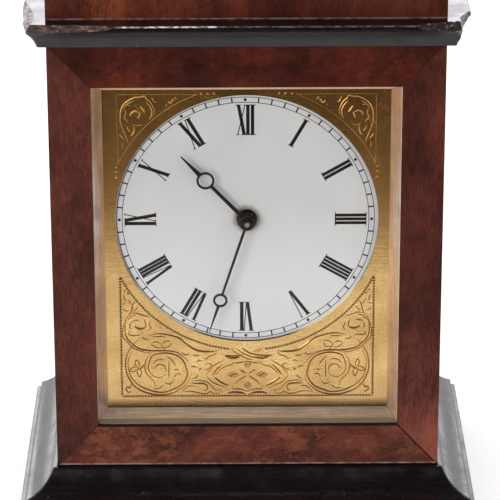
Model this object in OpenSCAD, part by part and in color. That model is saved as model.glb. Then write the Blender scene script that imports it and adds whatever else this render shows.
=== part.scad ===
/* [Body] */
// Width of the veneered body
body_w = 114; // [108:1:124]
// Depth of the body from its front face to its back
body_d = 79; // [77:1:95]
// Height of the body between the base and the cornice
body_h = 132.4; // [131:0.2:150]
// Thickness of the side boards
side_t = 7; // [5:0.5:7.5]
// Height of the block above the cornice
upper_h = 18; // [10:1:30]
// Rounding of the upper block's top edge
upper_round = 1; // [0.4:0.1:2]

/* [Base moulding] */
// Height of the base
base_h = 17; // [15:0.5:22]
// How far the base stands out from the body
base_out = 11; // [8:0.5:14]
// Height of the vertical face at the bottom of the base
fascia_h = 8.3; // [5:0.1:9]
// Width of the narrow flat at the top of that face
base_strip = 1.4; // [0.8:0.1:2.5]
// Height of the small step inside the narrow flat
base_step = 1.6; // [0.8:0.1:2.5]
// Width of the flat ledge round the foot of the body
ledge_w = 1.4; // [0.6:0.1:2.5]
// Radius of the hollow in the base moulding
base_cove_r = 10.2; // [9:0.1:20]

/* [Cornice] */
// Height of the cornice
cornice_h = 7.4; // [6.5:0.1:10]
// How far the cornice stands out from the body
cornice_out = 7.1; // [6:0.1:10]
// Overhang of the cornice at its lower edge
cornice_foot = 2.5; // [1:0.1:3.5]
// Height of the upright band at the top of the cornice
cornice_band = 2; // [1.2:0.1:3]
// Width of the step under that band
cornice_step = 1; // [0.5:0.1:2]
// Radius of the hollow in the cornice
cornice_cove_r = 12.4; // [8:0.1:30]
// Rounding of the cornice's top edge
cornice_round = 0.6; // [0.2:0.1:1]

/* [Front frame] */
// Width of the upright frame members
stile_w = 12.4; // [10:0.1:14]
// Width of the lower frame member
rail_low_w = 13.4; // [12:0.1:16]
// Width of the upper frame member
rail_top_w = 13; // [12:0.1:16]
// Thickness of the front frame
frame_t = 7.1; // [6.5:0.1:9]
// Thickness of the frame's lip in front of the glass
lip_t = 0.9; // [0.6:0.1:1.5]
// Width of the rebate behind the lip
rebate_w = 1.8; // [1:0.1:2.2]
// Thickness of the front glass
glass_t = 1; // [0.8:0.1:1.5]
// Play round the glass in its rebate
glass_play = 0.2; // [0.1:0.05:0.4]
// How far the splayed slips reach into the opening
slip_in = 2.9; // [1.5:0.1:3.5]

/* [Dial] */
// Height of the dial's centre above the base
dial_up = 76.2; // [75:0.1:80]
// Radius of the round hole in the gilt mask
dial_r = 38.6; // [36:0.1:39]
// Thickness of the gilt mask
mask_t = 1.2; // [0.8:0.1:2]
// How far the mask reaches behind the frame above and below the opening
mask_lap = 6; // [5:0.1:8]
// Play between the mask and the side boards
mask_play = 0.5; // [0.2:0.1:1]
// How far the enamel dial reaches behind the mask
dial_lap = 1; // [0.5:0.1:1.4]
// Thickness of the enamel dial
dial_t = 1.2; // [0.8:0.1:2]
// Radius of the hole in the middle of the dial
dial_hole_r = 3; // [2.6:0.1:4]
// Distance of the dial's feet from its centre
dial_foot_at = 27; // [24:0.5:28]
// Radius of a dial foot
dial_foot_r = 0.9; // [0.6:0.1:1.2]
// Radius of a mask screw
mask_screw_r = 0.8; // [0.6:0.1:1]
// Length of a mask screw in the wood
mask_screw_len = 4.5; // [3:0.5:5.5]
// Distance of the mask screws from the side boards
mask_screw_in = 9; // [7:0.5:12]

/* [Hands] */
// Length of the minute hand
minute_len = 36.2; // [32:0.1:37]
// Length of the hour hand
hour_len = 27.8; // [24:0.1:29]
// Distance of the minute hand's ring from the centre
minute_ring_at = 25.6; // [22:0.1:28]
// Distance of the hour hand's ring from the centre
hour_ring_at = 17.5; // [15:0.1:20]
// Outer radius of the minute hand's ring
minute_ring_r = 2.14; // [1.8:0.01:2.6]
// Outer radius of the hour hand's ring
hour_ring_r = 2.64; // [2.2:0.01:3.2]
// Width of the metal round each ring
ring_w = 0.65; // [0.5:0.05:0.8]
// Width of the minute hand's shaft
minute_shaft_w = 0.7; // [0.5:0.05:1]
// Width of the hour hand's shaft
hour_shaft_w = 1; // [0.7:0.05:1.4]
// Radius of the boss at the middle of the hands
hand_boss_r = 2.7; // [2.2:0.1:3.2]
// Thickness of the hands
hand_t = 0.6; // [0.4:0.05:0.7]
// Space between the dial and the hour hand
hour_hand_off = 1.8; // [1.4:0.1:2]
// Space between the two hands
hand_gap = 1; // [0.7:0.1:1.2]
// Minutes that the hands show past the hour
show_minute = 33; // [0:1:59]
// Hour that the hands show
show_hour = 10; // [0:1:11]

/* [Movement plates] */
// Thickness of the plates
plate_t = 2.5; // [2:0.1:3]
// Space between the plates
plate_gap = 30; // [29.5:0.1:32]
// Length of the posts between the mask and the front plate
post_len = 11.7; // [11.5:0.1:13]
// Half the width of the front plate
front_half_w = 36; // [35.5:0.1:38]
// Half the width of the back plate
back_half_w = 28; // [27:0.1:32]
// Length of the plates below the dial's centre
plate_down = 42.7; // [42.5:0.1:46]
// Rounding of the plates' corners
plate_corner_r = 2; // [1:0.1:2.2]
// Radius of a dial post
post_r = 2; // [1.5:0.1:2.2]
// Radius of a pillar
pillar_r = 2.5; // [2:0.1:2.8]
// Distance of the pillars from the middle
pillar_x = 23.5; // [22.5:0.1:24]
// Radius of a pillar screw's shank
pillar_screw_r = 1; // [0.8:0.1:1.2]

/* [Wheels] */
// Module of the barrel teeth
barrel_m = 0.47; // [0.46:0.005:0.48]
// Module of the centre wheel teeth
centre_m = 0.4; // [0.39:0.005:0.41]
// Module of the third wheel teeth
third_m = 0.36; // [0.355:0.005:0.365]
// Module of the contrate wheel teeth
contrate_m = 0.3; // [0.295:0.005:0.305]
// Module of the minute wheel teeth
minute_m = 0.4; // [0.38:0.01:0.42]
// Thickness of the train wheels
wheel_t = 1.1; // [0.8:0.1:1.3]
// Outer radius of the barrel drum
drum_r = 17.2; // [16:0.1:17.4]
// Thickness of the drum's wall
drum_wall = 1; // [0.8:0.1:1.4]
// Length of the barrel drum
drum_len = 19.5; // [17:0.1:20]
// Thickness of the mainspring
spring_t = 0.35; // [0.25:0.05:0.45]
// Number of turns of the mainspring
spring_turns = 8; // [6:1:9]
// Width across the winding square
wind_sq = 3.2; // [2.8:0.1:3.6]
// Width across the hand-setting square
set_sq = 1.8; // [1.5:0.1:1.9]
// Length of the winding square behind the ratchet wheel
wind_sq_len = 9; // [6:0.5:10]
// Length of the hand-setting square behind the back plate
set_sq_len = 6.7; // [5:0.1:9]
// Outer radius of the ratchet wheel
ratchet_r = 7.6; // [7:0.1:8]
// Running play of a pivot in its hole, on the radius
pivot_play = 0.05; // [0.03:0.01:0.08]

/* [Platform] */
// Half the width of the platform plate
platform_half_w = 15; // [12:0.5:18]
// Thickness of the platform plate
platform_t = 2; // [1.6:0.1:2.5]
// Radius of the escape wheel
escape_r = 3.8; // [3.6:0.05:3.9]
// Distance from the escape wheel's axis to the lever's
lever_from_escape = 4.6; // [4.55:0.01:4.7]
// Distance from the lever's axis to the balance staff
balance_from_lever = 5.9; // [5.8:0.05:6]
// Outer radius of the balance
balance_r = 6.4; // [5.8:0.1:6.5]
// Width of the balance rim
balance_rim_w = 0.8; // [0.6:0.1:1.1]
// Length of the regulator index from its centre
index_len = 8.5; // [7:0.1:9]
// Radius of the hairspring's outer turn
hairspring_r = 3.4; // [3:0.1:3.6]

/* [Back door] */
// Thickness of the back door
door_t = 5; // [4:0.5:6]
// Play round the back door
door_play = 0.3; // [0.2:0.05:0.5]
// Width of the door's frame
door_frame_w = 11; // [9:0.5:14]
// Thickness of the door's glass
door_glass_t = 2; // [1.5:0.1:2.5]
// Overlap of the door's glass behind its frame
door_glass_lap = 2; // [1:0.1:3]
// Radius of the hinge knuckles
knuckle_r = 1; // [0.8:0.05:1.2]
// Length of one hinge
hinge_len = 16; // [12:1:22]
// Distance of each hinge from the end of the door
hinge_in = 18; // [14:1:28]
// Thickness of the hinge leaves
leaf_t = 0.6; // [0.4:0.05:0.7]
// Width of the hinge leaves
leaf_w = 5; // [4:0.1:5.5]
// Radius of the hinge pin
hinge_pin_r = 0.45; // [0.35:0.05:0.5]
// Length of the catch arm
catch_len = 8; // [7.6:0.1:9]

/* [Hidden] */
$fn = 64;

// Colours as the object shows them
burr = [0.40, 0.19, 0.14];
ebony = [0.12, 0.11, 0.12];
gilt = [0.83, 0.68, 0.42];
brass = [0.76, 0.62, 0.38];
steel = [0.62, 0.63, 0.66];
blue_steel = [0.10, 0.10, 0.12];
enamel = [0.86, 0.86, 0.85];
clear_glass = [0.85, 0.92, 0.92, 0.3];

// Heights and planes of the case
cornice_z = base_h + body_h;
upper_z = cornice_z + cornice_h;
foot_d = body_d + base_out;
front_y = base_out - foot_d / 2;
back_y = foot_d / 2;
half_w = body_w / 2;
inner_half = half_w - side_t;
open_half = half_w - stile_w;
open_z0 = base_h + rail_low_w;
open_z1 = cornice_z - rail_top_w;
frame_back = front_y + frame_t;
slip_y = front_y + lip_t + glass_t;

// Dial and motion work planes, from front to back
dial_z = base_h + dial_up;
mask_back = frame_back + mask_t;
dial_back = mask_back + dial_t;
hour_hand_y = mask_back - hour_hand_off - hand_t;
minute_hand_y = hour_hand_y - hand_gap - hand_t;
collet_t = 1;
collet_y = minute_hand_y - collet_t;
pipe_r = 2;
cannon_r = 1.3;
arbor_tip_r = 0.75;

// Movement planes
fp_y0 = mask_back + post_len;
fp_y1 = fp_y0 + plate_t;
bp_y0 = fp_y1 + plate_gap;
bp_y1 = bp_y0 + plate_t;
shoulder = 0.3;

// Tooth counts of the train
barrel_n = 80;
centre_pinion_n = 10;
centre_n = 64;
third_pinion_n = 8;
third_n = 60;
contrate_pinion_n = 8;
contrate_n = 70;
escape_pinion_n = 7;
escape_n = 15;
cannon_n = 12;
minute_n = 36;
minute_pinion_n = 10;
hour_n = 40;
ratchet_n = 24;

// Arbor positions in the plates
barrel_z = dial_z - barrel_m * (barrel_n + centre_pinion_n) / 2;
third_dist = centre_m * (centre_n + third_pinion_n) / 2;
contrate_dist = third_m * (third_n + contrate_pinion_n) / 2;
contrate_up = 17.3;
third_up = (third_dist * third_dist - contrate_dist * contrate_dist + contrate_up * contrate_up)
  / (2 * contrate_up);
third_x = sqrt(third_dist * third_dist - third_up * third_up);
third_z = dial_z + third_up;
contrate_z = dial_z + contrate_up;
minute_dist = minute_m * (cannon_n + minute_n) / 2;
hour_m = 2 * minute_dist / (minute_pinion_n + hour_n);
contrate_r = contrate_m * contrate_n / 2;
plate_top = contrate_z + contrate_r + 3;

// Wheel planes between the plates
centre_wheel_y = fp_y1 + 1.5;
third_wheel_y = fp_y1 + 6.5;
drum_y = fp_y1 + 5;
drum_back = drum_y + drum_len;
drum_end_t = 1.2;
great_t = 2;
drum_in = drum_r - drum_wall;
cap_play = 0.02;
arbor_big = 2;
arbor_r = 0.8;
pivot_r = 0.5;
centre_pivot_r = 1;
barrel_pivot_r = 1.5;

// Contrate wheel and escape pinion
contrate_y = fp_y1 + plate_gap / 2 + 0.5;
contrate_web = 1.2;
contrate_tooth = 1.4;
contrate_tips = contrate_y + contrate_web + contrate_tooth;
contrate_face = 1;
escape_pinion_r = contrate_m * escape_pinion_n / 2;
escape_leaf = 0.25;
escape_mesh = 0.5;
escape_y = contrate_tips - escape_mesh + escape_pinion_r + escape_leaf;
lever_y = escape_y - lever_from_escape;
balance_y = lever_y - balance_from_lever;

// Levels on the platform
plat_z = plate_top;
plat_top = plat_z + platform_t;
lever_level = plat_top + 1.6;
lever_t = 0.6;
bridge_z = lever_level + 1.7;
bridge_t = 1;
balance_z = bridge_z + bridge_t + 0.7;
balance_t = 1;
spring_z = balance_z + balance_t + 0.7;
cock_z = spring_z + 1.2;
cock_t = 1.2;
index_z = cock_z + cock_t;
small_pivot_r = 0.3;
index_w = 1;
cock_boss_r = 1.1;

// Bracket under the platform that holds the escape arbor's lower pivot
potence_t = 1;
potence_w = 3;
potence_z = contrate_z + contrate_r - 3.1;
potence_leg = 2;
potence_y = escape_y + escape_pinion_r + escape_leaf + 0.8;

// Ratchet work behind the back plate
ratchet_y = bp_y1 + 0.5;
ratchet_t = 1.5;
ratchet_root = ratchet_r - 0.8;
click_dist = ratchet_r + 4.9;
click_angle = 140;
click_lift = 0.15;
click_reach = sqrt(click_dist * click_dist - (ratchet_r + click_lift) * (ratchet_r + click_lift));
click_turn = asin((ratchet_r + click_lift) / click_dist);
click_x = click_dist * cos(click_angle);
click_z = barrel_z + click_dist * sin(click_angle);
stud_r = 1;
stud_len = 2.6;
spring_foot = [-5.4, 3.2];
spring_foot_r = 1.3;
spring_root = [-4.9, 2.9];
spring_root_w = 1;
spring_tip = [3.4, 2.8];
spring_tip_w = 0.4;

// Minute wheel stud on the front plate
minute_stud_r = 0.8;
cannon_y = fp_y0 - 3.5;
cannon_t = 2.5;
minute_wheel_y = cannon_y + 0.5;
minute_pinion_t = 2.4;
hour_wheel_y = minute_wheel_y - minute_pinion_t + 0.5;
hour_wheel_t = 1.1;

// Posts and pillars
post_x = front_half_w - 3.5;
post_low = dial_z - plate_down + 3.5;
post_high = plate_top - 3;
pillar_low = dial_z - plate_down + 4.5;
pillar_high = plate_top - 5.5;
spigot = 0.6;

// Door planes
door_half = inner_half - door_play;
door_z0 = base_h + door_play;
door_z1 = cornice_z - door_play;
door_y0 = back_y - door_t;
knuckle_y = back_y + knuckle_r + 0.1;
catch_x = door_half - door_frame_w / 2;
catch_z = (door_z0 + door_z1) / 2;
catch_arm_t = 1.2;
catch_gap = 0.2;
catch_y = door_y0 - catch_gap - catch_arm_t;
catch_shaft_r = 1.2;
catch_w = 2.4;
slot_half = 6;
slot_w = 4.4;

// Time shown
minute_angle = 6 * show_minute;
hour_angle = 30 * show_hour + show_minute / 2;

// Centre of the arc of radius r that runs from a to b
function arc_centre(a, b, r) =
  let (m = (a + b) / 2, d = b - a, l = norm(d), h = sqrt(r * r - l * l / 4))
  m + h * [-d[1], d[0]] / l;

// Outline of a wheel with n straight-sided teeth; the fractions are shares of one pitch
function tooth_pts(n, r_root, r_tip, f_root, f_tip) =
  [for (i = [0:n - 1]) for (k = [0:3])
    let (s = [-f_root, -f_tip, f_tip, f_root][k] / 2, a = 360 / n * (i + s))
    (k == 0 || k == 3 ? r_root : r_tip) * [cos(a), sin(a)]];

// Outline of a wheel with n leaning teeth; lean is the tip's place in one pitch
function saw_pts(n, r_root, r_tip, lean, tip) =
  [for (i = [0:n - 1]) for (k = [0:2])
    let (a = 360 / n * (i + [0, lean, lean + tip][k]))
    (k == 0 ? r_root : r_tip) * [cos(a), sin(a)]];

// Outline of a flat spiral strip
function spiral_r(r0, r1, q) = r0 + (r1 - r0) * q;
function spiral_pts(r0, r1, turns, t, per) =
  let (n = turns * per)
  concat([for (i = [0:n]) let (a = 360 * i / per) (spiral_r(r0, r1, i / n) + t / 2) * [cos(a), sin(a)]],
    [for (j = [0:n]) let (i = n - j, a = 360 * i / per)
      (spiral_r(r0, r1, i / n) - t / 2) * [cos(a), sin(a)]]);

// A flat shape drawn in x and z, from y0 for a thickness t
module slab(y0, t) {
  translate([0, y0 + t, 0])
    rotate([90, 0, 0])
      linear_extrude(t)
        children();
}

// A flat shape drawn about a horizontal axis at x, z
module on_axis(x, z, y0, t, ang) {
  translate([x, 0, z])
    slab(y0, t)
      rotate([0, 0, ang])
        children();
}

// A round rod along y
module rod(x, z, y0, y1, r) {
  translate([x, y0, z])
    rotate([-90, 0, 0])
      cylinder(h = y1 - y0, r = r);
}

// A round rod along z
module peg(x, y, z0, z1, r) {
  translate([x, y, z0])
    cylinder(h = z1 - z0, r = r);
}

// A block from one corner to the opposite one
module block(a, b) {
  translate(a)
    cube(b - a);
}

// Flat outline of a wheel, crossed out between rim and hub
module crossed(n, m, add, ded, rim, hub, arms, arm_w) {
  r = m * n / 2;
  inner = r - ded * m - rim;
  difference() {
    polygon(tooth_pts(n, r - ded * m, r + add * m, 0.46, 0.16));
    difference() {
      circle(r = inner);
      circle(r = hub);
      for (i = [0:arms - 1])
        rotate(i * 360 / arms)
          translate([0, -arm_w / 2])
            square([inner + 1, arm_w]);
    }
  }
}

// Flat outline of a pinion
module pinion(n, m) {
  polygon(tooth_pts(n, m * n / 2 - 1.15 * m, m * n / 2 + 0.7 * m, 0.4, 0.2));
}

// Moulding profiles, with the body's face at zero
module base_profile() {
  a = [ledge_w, base_h];
  b = [base_out - base_strip, fascia_h + base_step];
  difference() {
    polygon([[0, 0], [base_out, 0], [base_out, fascia_h], [b[0], fascia_h], b, a, [0, base_h]]);
    translate(arc_centre(a, b, base_cove_r))
      circle(r = base_cove_r);
  }
}

module cornice_profile() {
  a = [cornice_foot, 0];
  b = [cornice_out - cornice_step, cornice_h - cornice_band];
  union() {
    difference() {
      polygon([[0, 0], a, b, [cornice_out, b[1]], [cornice_out, cornice_h - cornice_round],
        [cornice_out - cornice_round, cornice_h], [0, cornice_h]]);
      translate(arc_centre(b, a, cornice_cove_r))
        circle(r = cornice_cove_r);
    }
    translate([cornice_out - cornice_round, cornice_h - cornice_round])
      circle(r = cornice_round);
  }
}

// A mitred length of moulding along the front
module front_length(z, out, h) {
  intersection() {
    translate([-half_w - out, front_y, z])
      rotate([90, 0, 90])
        linear_extrude(2 * (half_w + out))
          mirror([1, 0])
            children();
    translate([0, 0, z - 1])
      linear_extrude(h + 2)
        polygon([[-half_w, front_y], [half_w, front_y],
          [half_w + out, front_y - out], [-half_w - out, front_y - out]]);
  }
}

// A mitred length of moulding along the left side
module left_length(z, out, h) {
  intersection() {
    translate([-half_w, back_y, z])
      rotate([90, 0, 0])
        linear_extrude(body_d + out)
          mirror([1, 0])
            children();
    translate([0, 0, z - 1])
      linear_extrude(h + 2)
        polygon([[-half_w, back_y], [-half_w, front_y],
          [-half_w - out, front_y - out], [-half_w - out, back_y]]);
  }
}

// Case
module base_board() {
  color(ebony)
    block([-half_w, front_y, 0], [half_w, back_y, base_h]);
}

module base_moulding_front() {
  color(ebony)
    front_length(0, base_out, base_h)
      base_profile();
}

module base_moulding_left() {
  color(ebony)
    left_length(0, base_out, base_h)
      base_profile();
}

module base_moulding_right() {
  color(ebony)
    mirror([1, 0, 0])
      left_length(0, base_out, base_h)
        base_profile();
}

module side_board_left() {
  color(burr)
    block([-half_w, frame_back, base_h], [-inner_half, back_y, cornice_z]);
}

module side_board_right() {
  color(burr)
    difference() {
      block([inner_half, frame_back, base_h], [half_w, back_y, cornice_z]);
      block([inner_half - 1, door_y0 - slot_w, catch_z - slot_half],
        [catch_x + catch_len + 2 * catch_gap, door_y0, catch_z + slot_half]);
    }
}

// Frame opening with its rebate
module rebate() {
  block([-open_half - rebate_w, front_y + lip_t, open_z0 - rebate_w],
    [open_half + rebate_w, frame_back + 1, open_z1 + rebate_w]);
}

module mask_screw_places() {
  for (sx = [-1, 1])
    for (z = [open_z0 - (rebate_w + mask_lap) / 2, open_z1 + (rebate_w + mask_lap) / 2])
      translate([sx * (inner_half - mask_screw_in), 0, z])
        children();
}

module screw_in_frame() {
  mask_screw_places()
    rod(0, 0, frame_back - mask_screw_len, mask_back, mask_screw_r);
}

module front_rail_top() {
  color(burr)
    difference() {
      slab(front_y, frame_t)
        polygon([[-half_w, cornice_z], [-open_half, open_z1], [open_half, open_z1],
          [half_w, cornice_z]]);
      rebate();
      screw_in_frame();
    }
}

module front_rail_bottom() {
  color(burr)
    difference() {
      slab(front_y, frame_t)
        polygon([[-half_w, base_h], [half_w, base_h], [open_half, open_z0],
          [-open_half, open_z0]]);
      rebate();
      screw_in_frame();
    }
}

module stile() {
  difference() {
    slab(front_y, frame_t)
      polygon([[-half_w, base_h], [-open_half, open_z0], [-open_half, open_z1],
        [-half_w, cornice_z]]);
    rebate();
    screw_in_frame();
  }
}

module front_stile_left() {
  color(burr)
    stile();
}

module front_stile_right() {
  color(burr)
    mirror([1, 0, 0])
      stile();
}

module cornice_board() {
  color(ebony)
    block([-half_w, front_y, cornice_z], [half_w, back_y, upper_z]);
}

module cornice_front() {
  color(ebony)
    front_length(cornice_z, cornice_out, cornice_h)
      cornice_profile();
}

module cornice_left() {
  color(ebony)
    left_length(cornice_z, cornice_out, cornice_h)
      cornice_profile();
}

module cornice_right() {
  color(ebony)
    mirror([1, 0, 0])
      left_length(cornice_z, cornice_out, cornice_h)
        cornice_profile();
}

module upper_block() {
  color(burr)
    intersection() {
      translate([0, back_y, 0])
        rotate([90, 0, 0])
          linear_extrude(body_d)
            rounded_top(half_w, upper_z, upper_z + upper_h, upper_round);
      block([-half_w, front_y, upper_z], [half_w, back_y, upper_z + upper_h]);
    }
}

// Rectangle with its two upper corners rounded
module rounded_top(hw, z0, z1, r) {
  union() {
    polygon([[-hw, z0], [hw, z0], [hw, z1 - r], [hw - r, z1], [-hw + r, z1], [-hw, z1 - r]]);
    for (s = [-1, 1])
      translate([s * (hw - r), z1 - r])
        circle(r = r);
  }
}

// Splayed slips round the opening
module slip_low(hw, z0) {
  intersection() {
    translate([-hw - rebate_w, 0, 0])
      rotate([90, 0, 90])
        linear_extrude(2 * (hw + rebate_w))
          polygon([[slip_y, z0 - rebate_w], [frame_back, z0 - rebate_w],
            [frame_back, z0 + slip_in], [slip_y, z0]]);
    slab(front_y, frame_t)
      polygon([[-hw - rebate_w, z0 - rebate_w], [hw + rebate_w, z0 - rebate_w],
        [hw - slip_in, z0 + slip_in], [-hw + slip_in, z0 + slip_in]]);
  }
}

module slip_side(hw, z0, z1) {
  intersection() {
    translate([0, 0, z0 - rebate_w])
      linear_extrude(z1 - z0 + 2 * rebate_w)
        polygon([[-hw - rebate_w, slip_y], [-hw, slip_y], [-hw + slip_in, frame_back],
          [-hw - rebate_w, frame_back]]);
    slab(front_y, frame_t)
      polygon([[-hw - rebate_w, z0 - rebate_w], [-hw + slip_in, z0 + slip_in],
        [-hw + slip_in, z1 - slip_in], [-hw - rebate_w, z1 + rebate_w]]);
  }
}

module bezel_slip_bottom() {
  color(brass)
    slip_low(open_half, open_z0);
}

module bezel_slip_top() {
  color(brass)
    translate([0, 0, open_z0 + open_z1])
      mirror([0, 0, 1])
        slip_low(open_half, open_z0);
}

module bezel_slip_left() {
  color(brass)
    slip_side(open_half, open_z0, open_z1);
}

module bezel_slip_right() {
  color(brass)
    mirror([1, 0, 0])
      slip_side(open_half, open_z0, open_z1);
}

module front_glass() {
  g = rebate_w - glass_play;
  color(clear_glass)
    block([-open_half - g, front_y + lip_t, open_z0 - g],
      [open_half + g, slip_y, open_z1 + g]);
}

// Dial
module dial_mask() {
  hw = inner_half - mask_play;
  color(gilt)
    difference() {
      block([-hw, frame_back, open_z0 - mask_lap], [hw, mask_back, open_z1 + mask_lap]);
      rod(0, dial_z, frame_back - 1, mask_back + 1, dial_r);
      screw_in_frame();
      post_places()
        rod(0, 0, mask_back - spigot, mask_back + 1, post_r / 2);
    }
}

module mask_screws() {
  color(steel)
    union() {
      screw_in_frame();
      mask_screw_places()
        rod(0, 0, mask_back, mask_back + mask_screw_r, 2 * mask_screw_r);
    }
}

module dial_feet(r) {
  for (a = [45, 135, 270])
    rod(dial_foot_at * cos(a), dial_z + dial_foot_at * sin(a), dial_back - dial_t / 2,
      fp_y0 + plate_t / 2, r);
}

module enamel_dial() {
  color(enamel)
    difference() {
      union() {
        rod(0, dial_z, mask_back, dial_back, dial_r + dial_lap);
        dial_feet(dial_foot_r);
      }
      rod(0, dial_z, mask_back - 1, dial_back + 1, dial_hole_r);
    }
}

module post_places() {
  for (sx = [-1, 1])
    for (z = [post_low, post_high])
      translate([sx * post_x, 0, z])
        children();
}

module dial_posts() {
  color(brass)
    post_places()
      union() {
        rod(0, 0, mask_back, fp_y0, post_r);
        rod(0, 0, mask_back - spigot, fp_y0 + plate_t, post_r / 2);
      }
}

// Hands, drawn pointing up from the centre
module hand_outline(len, ring_at, ring_r, shaft_w, boss_r) {
  tip_w = 0.3 * shaft_w;
  blade_w = 1.35 * shaft_w;
  difference() {
    union() {
      circle(r = boss_r);
      polygon([[-shaft_w * 0.6, 0], [shaft_w * 0.6, 0], [shaft_w / 2, ring_at - ring_r + ring_w / 2],
        [-shaft_w / 2, ring_at - ring_r + ring_w / 2]]);
      translate([0, ring_at])
        circle(r = ring_r);
      polygon([[-blade_w / 2, ring_at + ring_r - ring_w / 2], [blade_w / 2, ring_at + ring_r - ring_w / 2],
        [tip_w / 2, len], [-tip_w / 2, len]]);
    }
    translate([0, ring_at])
      circle(r = ring_r - ring_w);
  }
}

module hour_hand() {
  color(blue_steel)
    difference() {
      on_axis(0, dial_z, hour_hand_y, hand_t, -hour_angle)
        hand_outline(hour_len, hour_ring_at, hour_ring_r, hour_shaft_w, hand_boss_r);
      rod(0, dial_z, hour_hand_y - 1, hour_hand_y + hand_t + 1, pipe_r);
    }
}

module minute_hand() {
  color(blue_steel)
    difference() {
      on_axis(0, dial_z, minute_hand_y, hand_t, -minute_angle)
        hand_outline(minute_len, minute_ring_at, minute_ring_r, minute_shaft_w, 0.85 * hand_boss_r);
      rod(0, dial_z, minute_hand_y - 1, minute_hand_y + hand_t + 1, cannon_r);
    }
}

module hand_collet() {
  color(brass)
    difference() {
      union() {
        rod(0, dial_z, collet_y + collet_t / 2, minute_hand_y, 1.2 * cannon_r);
        rod(0, dial_z, collet_y, collet_y + collet_t / 2, 0.9 * cannon_r);
      }
      rod(0, dial_z, collet_y - 1, minute_hand_y + 1, arbor_tip_r);
    }
}

// Plates
module plate(half, y0) {
  c = plate_corner_r;
  z0 = dial_z - plate_down;
  slab(y0, plate_t)
    union() {
      translate([-half + c, z0])
        square([2 * (half - c), plate_top - z0]);
      translate([-half, z0 + c])
        square([2 * half, plate_top - z0 - c]);
      for (s = [-1, 1])
        translate([s * (half - c), z0 + c])
          circle(r = c);
    }
}

module pillar_places() {
  for (sx = [-1, 1])
    for (z = [pillar_low, pillar_high])
      translate([sx * pillar_x, 0, z])
        children();
}

module train_holes(y0) {
  y1 = y0 + plate_t + 1;
  rod(0, dial_z, y0 - 1, y1, centre_pivot_r + pivot_play);
  rod(0, barrel_z, y0 - 1, y1, barrel_pivot_r + pivot_play);
  rod(third_x, third_z, y0 - 1, y1, pivot_r + pivot_play);
  rod(0, contrate_z, y0 - 1, y1, pivot_r + pivot_play);
  pillar_places()
    rod(0, 0, y0 - 1, y1, pillar_screw_r);
}

module front_plate() {
  color(brass)
    union() {
      difference() {
        plate(front_half_w, fp_y0);
        train_holes(fp_y0);
        dial_feet(dial_foot_r);
        post_places()
          rod(0, 0, fp_y0 - 1, fp_y1 + 1, post_r / 2);
      }
      rod(-minute_dist, dial_z, hour_wheel_y - 0.5, fp_y0 + 1, minute_stud_r);
    }
}

module back_plate() {
  color(brass)
    union() {
      difference() {
        plate(back_half_w, bp_y0);
        train_holes(bp_y0);
      }
      rod(click_x, click_z, bp_y1 - 1, bp_y1 + stud_len, stud_r);
    }
}

module plate_pillars() {
  color(brass)
    pillar_places()
      difference() {
        rod(0, 0, fp_y1, bp_y0, pillar_r);
        rod(0, 0, fp_y1 - 1, fp_y1 + 3, pillar_screw_r);
        rod(0, 0, bp_y0 - 3, bp_y0 + 1, pillar_screw_r);
      }
}

module pillar_screws() {
  color(steel)
    pillar_places() {
      rod(0, 0, fp_y0, fp_y1 + 3, pillar_screw_r);
      screw_head(fp_y0 - 1.2, fp_y0 - 1.3);
      rod(0, 0, bp_y0 - 3, bp_y1, pillar_screw_r);
      screw_head(bp_y1, bp_y1 + 0.8);
    }
}

// Slotted screw head, its slot starting at slot_y
module screw_head(y0, slot_y) {
  difference() {
    rod(0, 0, y0, y0 + 1.2, 2.2 * pillar_screw_r);
    block([-3, slot_y, -0.25], [3, slot_y + 0.5, 0.25]);
  }
}

// Going barrel and winding work
module barrel() {
  color(brass)
    difference() {
      union() {
        rod(0, barrel_z, drum_y, drum_back, drum_r);
        on_axis(0, barrel_z, drum_back - great_t, great_t, 90)
          polygon(tooth_pts(barrel_n, barrel_m * (barrel_n / 2 - 1.1), barrel_m * (barrel_n / 2 + 0.9),
            0.46, 0.16));
      }
      rod(0, barrel_z, drum_y - 1, drum_back - drum_end_t, drum_in);
      rod(0, barrel_z, drum_y - 1, drum_back + 1, arbor_big + pivot_play);
    }
}

module barrel_cap() {
  color(brass)
    difference() {
      rod(0, barrel_z, drum_y, drum_y + drum_end_t, drum_in - cap_play);
      rod(0, barrel_z, drum_y - 1, drum_y + drum_end_t + 1, arbor_big + pivot_play);
    }
}

module mainspring() {
  y0 = drum_y + drum_end_t + 0.3;
  y1 = drum_back - drum_end_t - 0.3;
  color(steel)
    on_axis(0, barrel_z, y0, y1 - y0, 0)
      polygon(spiral_pts(arbor_big + 0.9, drum_in - 0.1 - spring_t / 2, spring_turns, spring_t, 20));
}

module barrel_arbor() {
  color(steel)
    union() {
      rod(0, barrel_z, fp_y0, fp_y1 + shoulder, barrel_pivot_r);
      rod(0, barrel_z, fp_y1 + shoulder, bp_y0 - shoulder, arbor_big);
      rod(0, barrel_z, bp_y0 - shoulder, bp_y1 + shoulder, barrel_pivot_r);
      block([-wind_sq / 2, bp_y1 + shoulder, barrel_z - wind_sq / 2],
        [wind_sq / 2, ratchet_y + ratchet_t + wind_sq_len, barrel_z + wind_sq / 2]);
    }
}

module ratchet_wheel() {
  color(steel)
    difference() {
      on_axis(0, barrel_z, ratchet_y, ratchet_t, click_angle - click_turn)
        polygon(saw_pts(ratchet_n, ratchet_root, ratchet_r, 0.86, 0.08));
      block([-wind_sq / 2, ratchet_y - 1, barrel_z - wind_sq / 2],
        [wind_sq / 2, ratchet_y + ratchet_t + 1, barrel_z + wind_sq / 2]);
    }
}

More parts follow.
